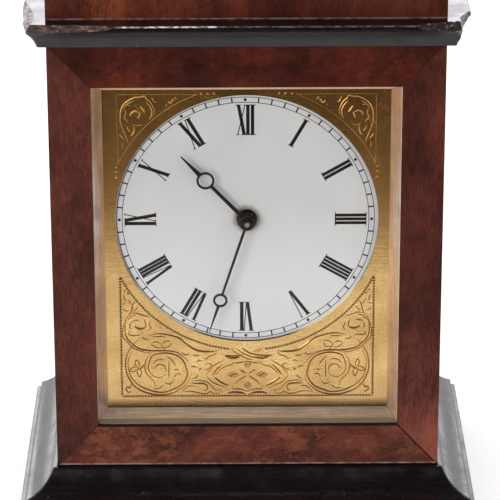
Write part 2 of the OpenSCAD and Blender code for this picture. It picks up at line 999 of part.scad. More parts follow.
module click() {
  color(steel)
    difference() {
      on_axis(click_x, click_z, ratchet_y, ratchet_t, click_angle + 180 + 90 - click_turn)
        union() {
          circle(r = 1.9 * stud_r);
          polygon([[click_reach, 0], [click_reach - 0.3, 0.9], [click_reach * 0.7, 2.1], [0, 1.9 * stud_r],
            [0, -1.6 * stud_r], [click_reach * 0.35, 0.4], [click_reach * 0.72, 0.8]]);
        }
      rod(click_x, click_z, ratchet_y - 1, ratchet_y + ratchet_t + 1, stud_r + pivot_play);
    }
}

module click_spring() {
  color(steel)
    on_axis(click_x, click_z, bp_y1, ratchet_t, click_angle + 180 + 90 - click_turn)
      union() {
        translate(spring_foot)
          circle(r = spring_foot_r);
        polygon([spring_root, spring_tip, spring_tip + [0, spring_tip_w], spring_root + [0, spring_root_w]]);
      }
}

// Centre arbor, hands and motion work
module centre_arbor() {
  color(steel)
    union() {
      rod(0, dial_z, collet_y - 0.2, fp_y0 - shoulder, arbor_tip_r);
      rod(0, dial_z, fp_y0 - shoulder, fp_y1 + shoulder, centre_pivot_r);
      rod(0, dial_z, fp_y1 + shoulder, bp_y0 - shoulder, 1.5);
      on_axis(0, dial_z, drum_back - great_t - 1, great_t + 2, -90 + 180 / centre_pinion_n)
        pinion(centre_pinion_n, barrel_m);
      rod(0, dial_z, bp_y0 - shoulder, bp_y1 + shoulder, centre_pivot_r);
      block([-set_sq / 2, bp_y1 + shoulder, dial_z - set_sq / 2],
        [set_sq / 2, bp_y1 + shoulder + set_sq_len, dial_z + set_sq / 2]);
    }
}

module centre_wheel() {
  dir = atan2(third_up, third_x);
  color(brass)
    difference() {
      on_axis(0, dial_z, centre_wheel_y, wheel_t, dir)
        crossed(centre_n, centre_m, 0.9, 1.1, 1.1, 2.6, 4, 1.3);
      rod(0, dial_z, centre_wheel_y - 1, centre_wheel_y + wheel_t + 1, 1.5);
    }
}

module cannon_pinion() {
  color(steel)
    difference() {
      union() {
        rod(0, dial_z, minute_hand_y, fp_y0 - shoulder, cannon_r);
        on_axis(0, dial_z, cannon_y, cannon_t, 180)
          pinion(cannon_n, minute_m);
      }
      rod(0, dial_z, minute_hand_y - 1, fp_y0 + 1, arbor_tip_r);
    }
}

module minute_wheel() {
  color(brass)
    difference() {
      union() {
        on_axis(-minute_dist, dial_z, minute_wheel_y, wheel_t, 180 / minute_n)
          crossed(minute_n, minute_m, 0.8, 1.1, 0.9, 2.4, 4, 1);
        on_axis(-minute_dist, dial_z, minute_wheel_y - minute_pinion_t, minute_pinion_t,
          180 / minute_pinion_n)
          pinion(minute_pinion_n, hour_m);
      }
      rod(-minute_dist, dial_z, minute_wheel_y - minute_pinion_t - 1, minute_wheel_y + wheel_t + 1,
        minute_stud_r + pivot_play);
    }
}

module hour_wheel() {
  color(brass)
    difference() {
      union() {
        on_axis(0, dial_z, hour_wheel_y, hour_wheel_t, 0)
          crossed(hour_n, hour_m, 0.8, 1.1, 0.9, 2.9, 4, 1);
        rod(0, dial_z, hour_hand_y, hour_wheel_y + hour_wheel_t, pipe_r);
      }
      rod(0, dial_z, hour_hand_y - 1, hour_wheel_y + hour_wheel_t + 1, cannon_r + pivot_play);
    }
}

// Arbor between the plates with its pinion
module train_arbor(x, z, pinion_y, pinion_t, n, m, ang) {
  union() {
    rod(x, z, fp_y0, fp_y1 + shoulder, pivot_r);
    rod(x, z, fp_y1 + shoulder, bp_y0 - shoulder, arbor_r);
    rod(x, z, bp_y0 - shoulder, bp_y1, pivot_r);
    on_axis(x, z, pinion_y, pinion_t, ang)
      pinion(n, m);
  }
}

module third_arbor() {
  dir = atan2(third_up, third_x);
  color(steel)
    train_arbor(third_x, third_z, centre_wheel_y - 0.6, wheel_t + 1.2, third_pinion_n, centre_m,
      dir + 180 + 180 / third_pinion_n);
}

module third_wheel() {
  dir = atan2(contrate_z - third_z, -third_x);
  color(brass)
    difference() {
      on_axis(third_x, third_z, third_wheel_y, wheel_t, dir)
        crossed(third_n, third_m, 0.9, 1.1, 1, 1.9, 4, 1.1);
      rod(third_x, third_z, third_wheel_y - 1, third_wheel_y + wheel_t + 1, arbor_r);
    }
}

module contrate_arbor() {
  dir = atan2(contrate_z - third_z, -third_x);
  color(steel)
    train_arbor(0, contrate_z, third_wheel_y - 0.6, wheel_t + 1.2, contrate_pinion_n, third_m,
      dir + 180 + 180 / contrate_pinion_n);
}

module contrate_wheel() {
  r = contrate_r + 0.4;
  inner = r - contrate_face;
  seat_y = contrate_y + contrate_web;
  color(brass)
    difference() {
      rod(0, contrate_z, contrate_y, contrate_tips, r);
      rod(0, contrate_z, seat_y, contrate_tips + 1, inner);
      on_axis(0, contrate_z, seat_y, contrate_tooth + 1, 90 + 180 / contrate_n)
        difference() {
          polygon(tooth_pts(contrate_n, inner - 0.4, r + 1, 0.7, 0.7));
          circle(r = inner - 0.6);
        }
      on_axis(0, contrate_z, contrate_y - 1, contrate_web + 2, 45)
        difference() {
          circle(r = inner - 1.4);
          circle(r = 1.9);
          for (a = [0, 90])
            rotate(a)
              translate([-inner, -0.5])
                square([2 * inner, 1]);
        }
      rod(0, contrate_z, contrate_y - 1, contrate_tips, arbor_r);
    }
}

// Platform and escapement
module platform_plate() {
  color(gilt)
    difference() {
      union() {
        block([-platform_half_w, fp_y0, plat_z], [platform_half_w, bp_y1, plat_top]);
        block([-potence_w / 2, potence_y, potence_z],
          [potence_w / 2, potence_y + potence_leg, plat_z + platform_t / 2]);
        block([-potence_w / 2, escape_y - 2 * small_pivot_r, potence_z],
          [potence_w / 2, potence_y + potence_leg, potence_z + potence_t]);
      }
      peg(0, escape_y, plat_z - 1, plat_top + 1, escape_pinion_r + 0.6);
      peg(0, escape_y, contrate_z, plat_z - 1, small_pivot_r + pivot_play);
      peg(0, lever_y, plat_z - 1, plat_top + 1, small_pivot_r + pivot_play);
      peg(0, balance_y, plat_z - 1, plat_top + 1, small_pivot_r + pivot_play);
    }
}

module lever_bridge() {
  foot_y = escape_y + escape_r + 0.6;
  color(gilt)
    difference() {
      union() {
        block([-1.1, lever_y - 1, bridge_z], [1.1, foot_y + 2.8, bridge_z + bridge_t]);
        block([-2, foot_y, plat_top], [2, foot_y + 2.8, bridge_z + bridge_t]);
      }
      peg(0, escape_y, bridge_z - 1, bridge_z + bridge_t + 1, small_pivot_r + pivot_play);
      peg(0, lever_y, bridge_z - 1, bridge_z + bridge_t + 1, small_pivot_r + pivot_play);
    }
}

module escape_wheel() {
  color(brass)
    union() {
      translate([0, escape_y, lever_level])
        rotate(-90)
          linear_extrude(lever_t * 0.8)
            difference() {
              polygon(saw_pts(escape_n, escape_r - 0.7, escape_r, 0.5, 0.06));
              difference() {
                circle(r = escape_r - 1.3);
                circle(r = 0.9);
                for (a = [0:90:270])
                  rotate(a)
                    translate([0, -0.2])
                      square([escape_r - 1, 0.4]);
              }
            }
      translate([0, escape_y, potence_z + potence_t + 0.6])
        rotate(180 / escape_pinion_n - 90)
          linear_extrude(2.9)
            polygon(tooth_pts(escape_pinion_n, escape_pinion_r - 0.37, escape_pinion_r + escape_leaf,
              0.36, 0.26));
      peg(0, escape_y, potence_z + potence_t / 5, bridge_z + bridge_t * 0.8, small_pivot_r);
    }
}

module pallet_lever() {
  span = 30;
  reach = escape_r + 0.85;
  px = reach * sin(span);
  py = lever_from_escape - reach * cos(span);
  color(steel)
    union() {
      translate([0, lever_y, lever_level])
        linear_extrude(lever_t)
          union() {
            circle(r = 0.6);
            for (s = [-1, 1]) {
              polygon([[0, -0.4], [s * px, py - 0.35], [s * (px + 0.25), py + 0.3], [0, 0.3]]);
              translate([0, lever_from_escape])
                rotate(s * span)
                  translate([-0.17, -escape_r - 1.1])
                    square([0.34, 0.9]);
            }
            fork_arm();
          }
      peg(0, lever_y, plat_z + 0.6, bridge_z + bridge_t * 0.8, small_pivot_r);
    }
}

// Arm of the lever, its forked end towards the balance staff
module fork_arm() {
  end = balance_from_lever - 1.05;
  difference() {
    polygon([[-0.25, 0], [0.25, 0], [0.22, -end + 1.1], [0.55, -end + 0.7], [0.55, -end],
      [-0.55, -end], [-0.55, -end + 0.7], [-0.22, -end + 1.1]]);
    translate([-0.2, -end - 0.5])
      square([0.4, 1.1]);
  }
}

module balance_wheel() {
  color(brass)
    union() {
      translate([0, balance_y, balance_z])
        linear_extrude(balance_t)
          difference() {
            circle(r = balance_r);
            difference() {
              circle(r = balance_r - balance_rim_w);
              circle(r = 1.1);
              translate([-balance_r + 0.3, -0.5])
                square([2 * balance_r - 0.6, 1]);
            }
          }
      peg(0, balance_y, plat_z + 0.6, cock_z + cock_t * 0.8, small_pivot_r);
      peg(0, balance_y, lever_level + 0.9, lever_level + 1.4, 1.7);
      peg(0, balance_y, balance_z + balance_t, spring_z + 0.5, 0.7);
      peg(1.45, balance_y, lever_level, lever_level + 1, 0.14);
    }
}

module hairspring() {
  color(blue_steel)
    translate([0, balance_y, spring_z])
      rotate(-90)
        linear_extrude(0.4)
          polygon(spiral_pts(0.95, hairspring_r, 5, 0.12, 20));
}

module balance_cock() {
  foot_y = balance_y - balance_r - 0.4;
  stud_y = balance_y - hairspring_r - 0.45;
  color(gilt)
    difference() {
      union() {
        block([-3, fp_y0 + 0.2, plat_top], [3, foot_y, cock_z + cock_t]);
        block([-1.6, foot_y - 0.5, cock_z], [1.6, balance_y, cock_z + cock_t]);
        peg(0, balance_y, cock_z, cock_z + cock_t, 1.6);
        peg(0, balance_y, cock_z, index_z + 0.7, cock_boss_r);
        peg(0, stud_y, spring_z - 0.1, cock_z + 0.1, 0.3);
      }
      peg(0, balance_y, cock_z - 1, index_z + 1, small_pivot_r + pivot_play);
    }
}

module regulator_index() {
  color(steel)
    translate([0, balance_y, index_z])
      linear_extrude(0.5)
        difference() {
          union() {
            circle(r = 1.9);
            polygon([[-index_w / 2, 0], [index_w / 2, 0], [index_w / 5, index_len],
              [-index_w / 5, index_len]]);
          }
          circle(r = cock_boss_r + pivot_play);
        }
}

// Back door
module door_frame() {
  w = door_half - door_frame_w;
  z0 = door_z0 + door_frame_w;
  z1 = door_z1 - door_frame_w;
  g = door_glass_lap;
  color(burr)
    difference() {
      block([-door_half, door_y0, door_z0], [door_half, back_y, door_z1]);
      block([-w, door_y0 - 1, z0], [w, back_y + 1, z1]);
      block([-w - g, door_y0 - 1, z0 - g], [w + g, door_y0 + door_glass_t, z1 + g]);
      rod(catch_x, catch_z, door_y0 - 1, back_y + 1, catch_shaft_r + pivot_play);
    }
}

module door_glass() {
  g = door_glass_lap;
  w = door_half - door_frame_w + g;
  color(clear_glass)
    block([-w, door_y0, door_z0 + door_frame_w - g],
      [w, door_y0 + door_glass_t, door_z1 - door_frame_w + g]);
}

module door_catch() {
  color(brass)
    union() {
      rod(catch_x, catch_z, catch_y, back_y + 3, catch_shaft_r);
      slab(catch_y, catch_arm_t)
        translate([catch_x, catch_z])
          union() {
            circle(r = catch_w / 2);
            translate([-catch_w / 2, 0])
              square([catch_w, catch_len]);
          }
      translate([catch_x, back_y + 0.2, catch_z])
        rotate([-90, 0, 0])
          rotate_extrude()
            polygon([[0, 0], [2.6, 0], [2.6, 0.6], [1.5, 1.2], [1.5, 2], [3, 3], [3.4, 4], [3, 5], [1.8, 5.8],
              [0, 6]]);
    }
}

// Hinge on the left edge; part 0 is the fixed leaf, part 1 the door's leaf
module hinge(part) {
  third = hinge_len / 3;
  gap = 0.1;
  for (zc = [door_z0 + hinge_in, door_z1 - hinge_in])
    translate([-inner_half, 0, zc - hinge_len / 2])
      if (part == 0) {
        difference() {
          union() {
            for (k = [0, 2])
              knuckle(k * third, third - gap);
            block([-leaf_w, back_y, 0], [-knuckle_r - gap, back_y + leaf_t, hinge_len]);
            for (k = [0, 2])
              block([-knuckle_r - gap - 0.1, back_y, k * third],
                [0, back_y + leaf_t, k * third + third - gap]);
          }
        }
        peg(0, knuckle_y, 0, hinge_len - gap, hinge_pin_r);
      } else {
        difference() {
          union() {
            knuckle(third, third - gap);
            block([knuckle_r + gap, back_y, 0], [leaf_w, back_y + leaf_t, hinge_len]);
            block([0, back_y, third], [knuckle_r + gap + 0.1, back_y + leaf_t, 2 * third - gap]);
          }
          peg(0, knuckle_y, -1, hinge_len + 1, hinge_pin_r + pivot_play);
        }
      }
}

module knuckle(z0, h) {
  peg(0, knuckle_y, z0, z0 + h, knuckle_r);
}

module fixed_hinge_leaves() {
  color(brass)
    hinge(0);
}

module door_hinge_leaves() {
  color(brass)
    hinge(1);
}

base_board();
base_moulding_front();
base_moulding_left();
base_moulding_right();
side_board_left();
side_board_right();
front_rail_top();
front_rail_bottom();
front_stile_left();
front_stile_right();
cornice_board();
cornice_front();
cornice_left();
cornice_right();
upper_block();
bezel_slip_top();
bezel_slip_bottom();
bezel_slip_left();
bezel_slip_right();
front_glass();
dial_mask();
mask_screws();
enamel_dial();
dial_posts();
front_plate();
back_plate();
plate_pillars();
pillar_screws();
barrel();
barrel_cap();
mainspring();
barrel_arbor();
ratchet_wheel();
click();
click_spring();
centre_arbor();
centre_wheel();
cannon_pinion();
minute_hand();
hand_collet();
minute_wheel();
hour_wheel();
hour_hand();
third_arbor();
third_wheel();
contrate_arbor();
contrate_wheel();
platform_plate();
lever_bridge();
escape_wheel();
pallet_lever();
balance_wheel();
hairspring();
balance_cock();
regulator_index();
door_frame();
door_glass();
door_catch();
fixed_hinge_leaves();
door_hinge_leaves();
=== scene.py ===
import math

import bpy
import numpy as np
from mathutils import Matrix, Vector
from mathutils import noise as fractal


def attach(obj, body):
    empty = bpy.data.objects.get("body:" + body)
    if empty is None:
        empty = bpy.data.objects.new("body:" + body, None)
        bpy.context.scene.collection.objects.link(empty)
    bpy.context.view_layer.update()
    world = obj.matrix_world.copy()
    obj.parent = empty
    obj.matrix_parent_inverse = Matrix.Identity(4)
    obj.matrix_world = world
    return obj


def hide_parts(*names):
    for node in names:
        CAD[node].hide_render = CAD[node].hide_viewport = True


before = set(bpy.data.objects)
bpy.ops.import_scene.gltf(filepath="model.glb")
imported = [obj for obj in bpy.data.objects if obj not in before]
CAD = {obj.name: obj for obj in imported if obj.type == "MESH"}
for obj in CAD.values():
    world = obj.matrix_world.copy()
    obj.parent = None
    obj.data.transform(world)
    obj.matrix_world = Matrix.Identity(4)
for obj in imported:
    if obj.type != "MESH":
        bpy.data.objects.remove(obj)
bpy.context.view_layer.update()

MM = 0.001

# Places on the clock, in millimetres in the row frame. The dial faces -Y and the case stands on z = 0.
DIAL_Z = 93.2            # height of the dial's centre
ENAMEL_Y = -25.7         # front face of the enamel
MASK_Y = -26.9           # front face of the gilt mask
CORNICE_Y, CORNICE_TOP = -41.1, 156.8      # the cornice's front face and its top


def srgb(r, g, b):
    """A colour of 0-255 display values as linear RGBA."""
    def line(v):
        v = v / 255
        return v / 12.92 if v <= 0.04045 else ((v + 0.055) / 1.055) ** 2.4
    return (line(r), line(g), line(b), 1.0)


# ---------------------------------------------------------------------------
# Materials
# ---------------------------------------------------------------------------
class Nodes:
    """A short way to write the nodes of a material or a world. Places are in millimetres."""

    def __init__(self, name, seed=(0, 0, 0), kind="Material"):
        self.owner = (bpy.data.worlds if kind == "World" else bpy.data.materials).new(name)
        self.owner.use_nodes = True
        self.tree = self.owner.node_tree
        self.tree.nodes.clear()
        self.out = self.add("Output" + kind).inputs["Surface"]
        scaled = self.add("VectorMath", {"operation": "SCALE"}, Scale=1 / MM)
        self.put(scaled.inputs[0], self.add("TexCoord").outputs["Object"])
        self.raw = scaled.outputs[0]
        self.place = self.vec("ADD", self.raw, seed) if any(seed) else self.raw

    def put(self, socket, value):
        if isinstance(value, bpy.types.NodeSocket):
            self.tree.links.new(value, socket)
        else:
            socket.default_value = value

    def add(self, kind, props=None, **inputs):
        node = self.tree.nodes.new("ShaderNode" + kind)
        for key, value in (props or {}).items():
            setattr(node, key, value)
        for key, value in inputs.items():
            self.put(node.inputs[key.replace("_", " ")], value)
        return node

    def fill(self, kind, props, *values):
        """The first output of a node whose inputs are given in order."""
        node = self.add(kind, props)
        for i, value in enumerate(values):
            self.put(node.inputs[i], value)
        return node.outputs[0]

    def vec(self, operation, a, b):
        return self.fill("VectorMath", {"operation": operation}, a, b)

    def math(self, operation, *values):
        return self.fill("Math", {"operation": operation}, *values)

    def times(self, a, b):
        return self.math("MULTIPLY", a, b)

    def plus(self, a, b):
        return self.math("ADD", a, b)

    def minus(self, a, b):
        return self.math("SUBTRACT", a, b)

    def blend(self, share, a, b):
        """A mix of two shaders."""
        return self.fill("MixShader", None, share, a, b)

    def noise(self, place, scale, detail=3.0, rough=0.5, distortion=0.0):
        node = self.add("TexNoise", Vector=place, Scale=scale, Detail=detail, Roughness=rough,
                        Distortion=distortion)
        return node.outputs["Fac"]

    def cells(self, place, scale):
        return self.add("TexVoronoi", Vector=place, Scale=scale).outputs["Distance"]

    def warped(self, place, scale, amount):
        """place pushed about by soft noise."""
        node = self.add("TexNoise", Vector=place, Scale=scale, Detail=2.0)
        off = self.vec("SUBTRACT", node.outputs["Color"], (0.5, 0.5, 0.5))
        return self.vec("ADD", place, self.vec("MULTIPLY", off, (amount, amount, amount)))

    def step(self, value, low, high, to_low=0.0, to_high=1.0):
        """A soft step: to_low up to low, to_high from high on."""
        node = self.add("MapRange", {"interpolation_type": "SMOOTHSTEP", "clamp": True}, Value=value,
                        From_Min=low, From_Max=high, To_Min=to_low, To_Max=to_high)
        return node.outputs["Result"]

    def ramp(self, value, stops):
        node = self.add("ValToRGB", Fac=value)
        ramp = node.color_ramp
        while len(ramp.elements) < len(stops):
            ramp.elements.new(0.5)
        for element, (at, colour) in zip(ramp.elements, stops):
            element.position = at
            element.color = colour
        return node.outputs["Color"]

    def mix(self, a, b, share):
        node = self.add("Mix", {"data_type": "RGBA"})
        for i, value in ((0, share), (6, a), (7, b)):
            self.put(node.inputs[i], value)
        return node.outputs[2]

    def bump(self, height, distance, strength):
        return self.add("Bump", Height=height, Distance=distance * MM, Strength=strength).outputs["Normal"]

    def split(self):
        """x, y and z in millimetres."""
        return tuple(self.add("SeparateXYZ", Vector=self.raw).outputs)

    def close(self, shader):
        self.put(self.out, shader)
        return self.owner

    def finish(self, **inputs):
        """Closes the tree with one Principled shader."""
        return self.close(self.add("BsdfPrincipled", **inputs).outputs[0])


def stretched(g, place, along, share):
    """place squeezed along one axis, so that a pattern runs that way."""
    size = [1.0, 1.0, 1.0]
    size["xyz".index(along)] = share
    return g.vec("MULTIPLY", place, tuple(size))


def burr(name, along, seed, tones, patches=0.6, curls=0.5, fibre=0.5, joints=(), foot=None, run=0.55,
         flare=None, low=None):
    """Burr veneer: soft patches of tone, lit spots edged by thin dark curls, short fibres, worn satin polish.
    The joint lines (dark joint lines, and a painted shadow line in the gap under the slip) are
    ((x, z), (x, z), half width, strength). foot = (z, z, strength) is painted shade, black up to the first
    height, with a painted highlight, a pale line broken by noise, up to the second. run is how far the figure
    is drawn out along the grain. flare = (x, half width, share) is a lighter part. low = (z, z, share) makes
    the wood redder and lighter lower down."""
    g = Nodes(name, seed)
    base = g.warped(g.place, 0.05, 9.0)
    patch = g.noise(stretched(g, base, along, run * 0.82), 0.075, 2.5, 0.5)
    curl = g.noise(stretched(g, g.warped(g.place, 0.16, 4.0), along, run), 0.36, 4.0, 0.6, 0.8)
    threads = g.noise(stretched(g, g.warped(g.place, 0.10, 3.0), along, 0.10), 2.2, 3.0, 0.65)
    grit = g.noise(stretched(g, g.place, along, 0.6), 3.3, 3.0, 0.75)
    tone = g.times(patch, patches)
    tone = g.plus(tone, g.times(curl, 0.55 * curls))
    tone = g.plus(tone, g.times(threads, 0.60 * fibre))
    tone = g.plus(tone, g.times(grit, 0.45))
    middle = 0.5 * (patches + 0.55 * curls + 0.60 * fibre + 0.45)
    tone = g.step(tone, middle - 0.28, middle + 0.28)
    colour = g.ramp(tone, [(0.0, tones[0]), (0.33, tones[1]), (0.66, tones[2]), (1.0, tones[3])])
    spot = stretched(g, g.warped(g.place, 0.22, 4.5), along, min(1.0, run + 0.05))
    spot = g.noise(spot, 0.30, 5.0, 0.62, 0.5)
    where = g.step(g.noise(g.place, 0.06, 2.0), 0.38, 0.60)
    lit = g.times(g.step(spot, 0.46, 0.60), where)
    colour = g.mix(colour, tones[4], g.times(lit, 0.34 * curls))
    lines = g.step(g.math("ABSOLUTE", g.minus(spot, 0.485)), 0.0, 0.022, 1.0, 0.0)
    lines = g.times(g.times(lines, where), curls)
    colour = g.mix(colour, tones[0], g.times(lines, 0.60))
    if flare is not None:
        side = g.math("ABSOLUTE", g.minus(g.split()[0], flare[0]))
        side = g.step(side, flare[1] * 0.3, flare[1], flare[2], 0.0)
        colour = g.mix(colour, srgb(176, 92, 50), g.times(side, g.step(tone, 0.25, 0.8)))
    if low is not None:
        reddened = g.step(g.split()[2], low[0], low[1], low[2], 0.0)
        colour = g.mix(colour, srgb(152, 84, 68), g.times(reddened, tone))
    pores = g.step(g.noise(stretched(g, g.warped(g.place, 0.3, 1.0), along, 0.14), 3.0, 2.0, 0.6), 0.60, 0.74)
    colour = g.mix(colour, tones[0], g.times(pores, 0.32))
    rough = g.step(g.noise(g.place, 0.25, 4.0), 0.3, 0.75, 0.36, 0.52)
    height = g.minus(g.times(threads, 0.4), g.times(pores, 0.8))
    height = g.minus(height, g.times(lines, 0.5))
    x, y, z = g.split()
    # Dark joint lines, and the painted shadow line in the gap under the slip.
    for (x0, z0), (x1, z1), half, strength in joints:
        length = math.hypot(x1 - x0, z1 - z0)
        nx, nz = (z1 - z0) / length, (x0 - x1) / length
        off = g.plus(g.times(x, nx), g.times(z, nz))
        off = g.math("ABSOLUTE", g.minus(off, x0 * nx + z0 * nz))
        dark = g.step(off, half * 0.5, half * 1.5, strength, 0.0)
        colour = g.mix(colour, srgb(12, 7, 6), dark)
        height = g.minus(height, g.times(dark, 2.0))
    if foot is not None:
        # Painted at the foot: a pale highlight line broken by noise, and black painted shade below it.
        foot_highlight = g.step(g.noise(g.place, 0.45, 4.0), 0.35, 0.62, 0.25, 1.0)
        foot_highlight = g.times(g.step(z, foot[1], foot[1] + 0.25, foot[2], 0.0), foot_highlight)
        colour = g.mix(colour, srgb(158, 138, 128), foot_highlight)
        colour = g.mix(colour, srgb(12, 9, 9), g.step(z, foot[0], foot[0] + 0.05, 1.0, 0.0))
    return g.finish(Base_Color=colour, Roughness=rough, Specular_IOR_Level=0.12,
                    Normal=g.bump(height, 0.03, 0.5))


def shades(*colours):
    return [srgb(*colour) for colour in colours]


# Veneers: four tones from dark to light, and the tone of the lit spots.
WARM = shades((42, 19, 15), (79, 39, 30), (104, 54, 40), (131, 72, 51), (154, 90, 62))
DEEP = shades((31, 10, 6), (58, 19, 12), (77, 27, 17), (102, 41, 24), (113, 45, 26))
STILE = shades((38, 18, 15), (71, 34, 27), (91, 44, 35), (115, 60, 45), (124, 62, 44))
STILE_DARK = shades((34, 13, 10), (62, 26, 20), (80, 36, 28), (104, 50, 37), (112, 52, 36))
FLAME = shades((36, 13, 9), (66, 26, 17), (88, 38, 25), (118, 56, 34), (134, 66, 38))


def ebony(name, seed, along="x", shine=0.17, specks=0.75, coat=0.6, arris=None, gleam=0.5):
    """Ebonised wood: near black polish with faint grain, rubbed places and pale specks.
    arris = (y, z, ((low x, high x, strength), ...)) is a long edge with a painted highlight broken into pale
    specks."""
    g = Nodes(name, seed)
    grain = g.noise(stretched(g, g.warped(g.place, 0.1, 2.0), along, 0.06), 1.6, 4.0, 0.6)
    rub = g.noise(g.place, 0.12, 5.0, 0.6)
    colour = g.ramp(grain, [(0.30, srgb(13, 10, 12)), (0.55, srgb(22, 18, 21)), (0.80, srgb(38, 33, 36))])
    colour = g.mix(colour, srgb(50, 43, 42), g.step(rub, 0.62, 0.82, 0.0, 0.3))
    fleck = g.cells(g.warped(g.place, 1.2, 0.5), 0.55)
    lone = g.noise(g.place, 0.30, 1.0)
    white = g.times(g.step(fleck, 0.05, 0.09, 1.0, 0.0), g.step(lone, 0.60, 0.66))
    colour = g.mix(colour, srgb(170, 165, 165), g.times(white, specks))
    if arris:
        x, y, z = g.split()
        dy, dz = g.minus(y, arris[0]), g.minus(z, arris[1])
        away = g.math("SQRT", g.plus(g.times(dy, dy), g.times(dz, dz)))
        part = 0.0
        for low, high, strength in arris[2]:
            zone = g.times(g.step(x, low, low + 4, 0.0, strength), g.step(x, high - 4, high, 1.0, 0.0))
            part = g.math("MAXIMUM", zone, part)
        near = g.times(g.step(away, 0.26, 0.52, 1.0, 0.0), part)
        broken = g.step(g.noise(stretched(g, g.place, "x", 0.6), 1.1, 4.0, 0.7), 0.45, 0.58, 0.15, 1.0)
        # Painted highlight along the rounded edge, broken into pale specks.
        colour = g.mix(colour, srgb(250, 246, 244), g.times(near, broken))
    rough = g.step(rub, 0.35, 0.75, shine - 0.04, shine + 0.20)
    if arris:
        # The upright band under that edge has kept its polish.
        band = CORNICE_TOP - 2
        rough = g.math("MINIMUM", rough, g.step(g.split()[2], band - 0.1, band + 0.1, 1.0, 0.10))
    height = g.plus(g.times(grain, 0.5), white)
    return g.finish(Base_Color=colour, Roughness=rough, Specular_IOR_Level=gleam,
                    Normal=g.bump(height, 0.02, 0.5), Coat_Weight=coat, Coat_Roughness=0.07)


def splintered(name, along, seed, tones, polish=0.2, right=None, size=1.0):
    """Wood broken open under the black: frayed fibres, waxed and grimy since. right holds the tones beyond
    x = 30."""
    g = Nodes(name, seed)
    fibres = g.noise(stretched(g, g.warped(g.place, 0.4, 1.2), along, 0.14 / size), 1.7 * size, 5.0, 0.7)
    chunks = g.noise(g.warped(g.place, 0.5, 2.0), 0.45, 3.0, 0.6)
    tone = g.plus(g.times(fibres, 0.7), g.times(chunks, 0.3))
    colour = g.ramp(tone, [(0.38, tones[0]), (0.46, tones[1]), (0.54, tones[2]), (0.64, tones[3])])
    if right is not None:
        # Painted glints: pale flecks beyond x = 30 stand in for lamplight caught on the broken facets.
        glints = stretched(g, g.warped(g.place, 0.8, 1.0), along, 0.45)
        glints = g.step(g.noise(glints, 1.3, 3.0, 0.7), 0.60, 0.68)
        other = g.ramp(tone, [(0.38, right[0]), (0.48, right[1]), (0.60, right[2])])
        other = g.mix(other, right[3], g.times(glints, 0.85))
        colour = g.mix(colour, other, g.step(g.split()[0], 20, 30))
    return g.finish(Base_Color=colour, Roughness=g.step(fibres, 0.3, 0.7, 0.55, 0.35),
                    Specular_IOR_Level=0.4, Normal=g.bump(tone, 0.12, 0.8), Coat_Weight=polish,
                    Coat_Roughness=0.15)


BROWN_BREAK = shades((30, 20, 18), (62, 43, 37), (88, 64, 55), (136, 108, 94))
# The palest of these dark break tones is a painted glint.
DARK_BREAK_GLINTS = shades((20, 14, 14), (44, 32, 30), (74, 57, 52), (196, 190, 192))
# Pale grey-lilac tones: a painted reflection of the bright back on the left break; the dark streaks are the
# wood's own.
GREY_BREAK_SHEEN = shades((26, 18, 18), (78, 68, 72), (134, 125, 132), (196, 188, 194))


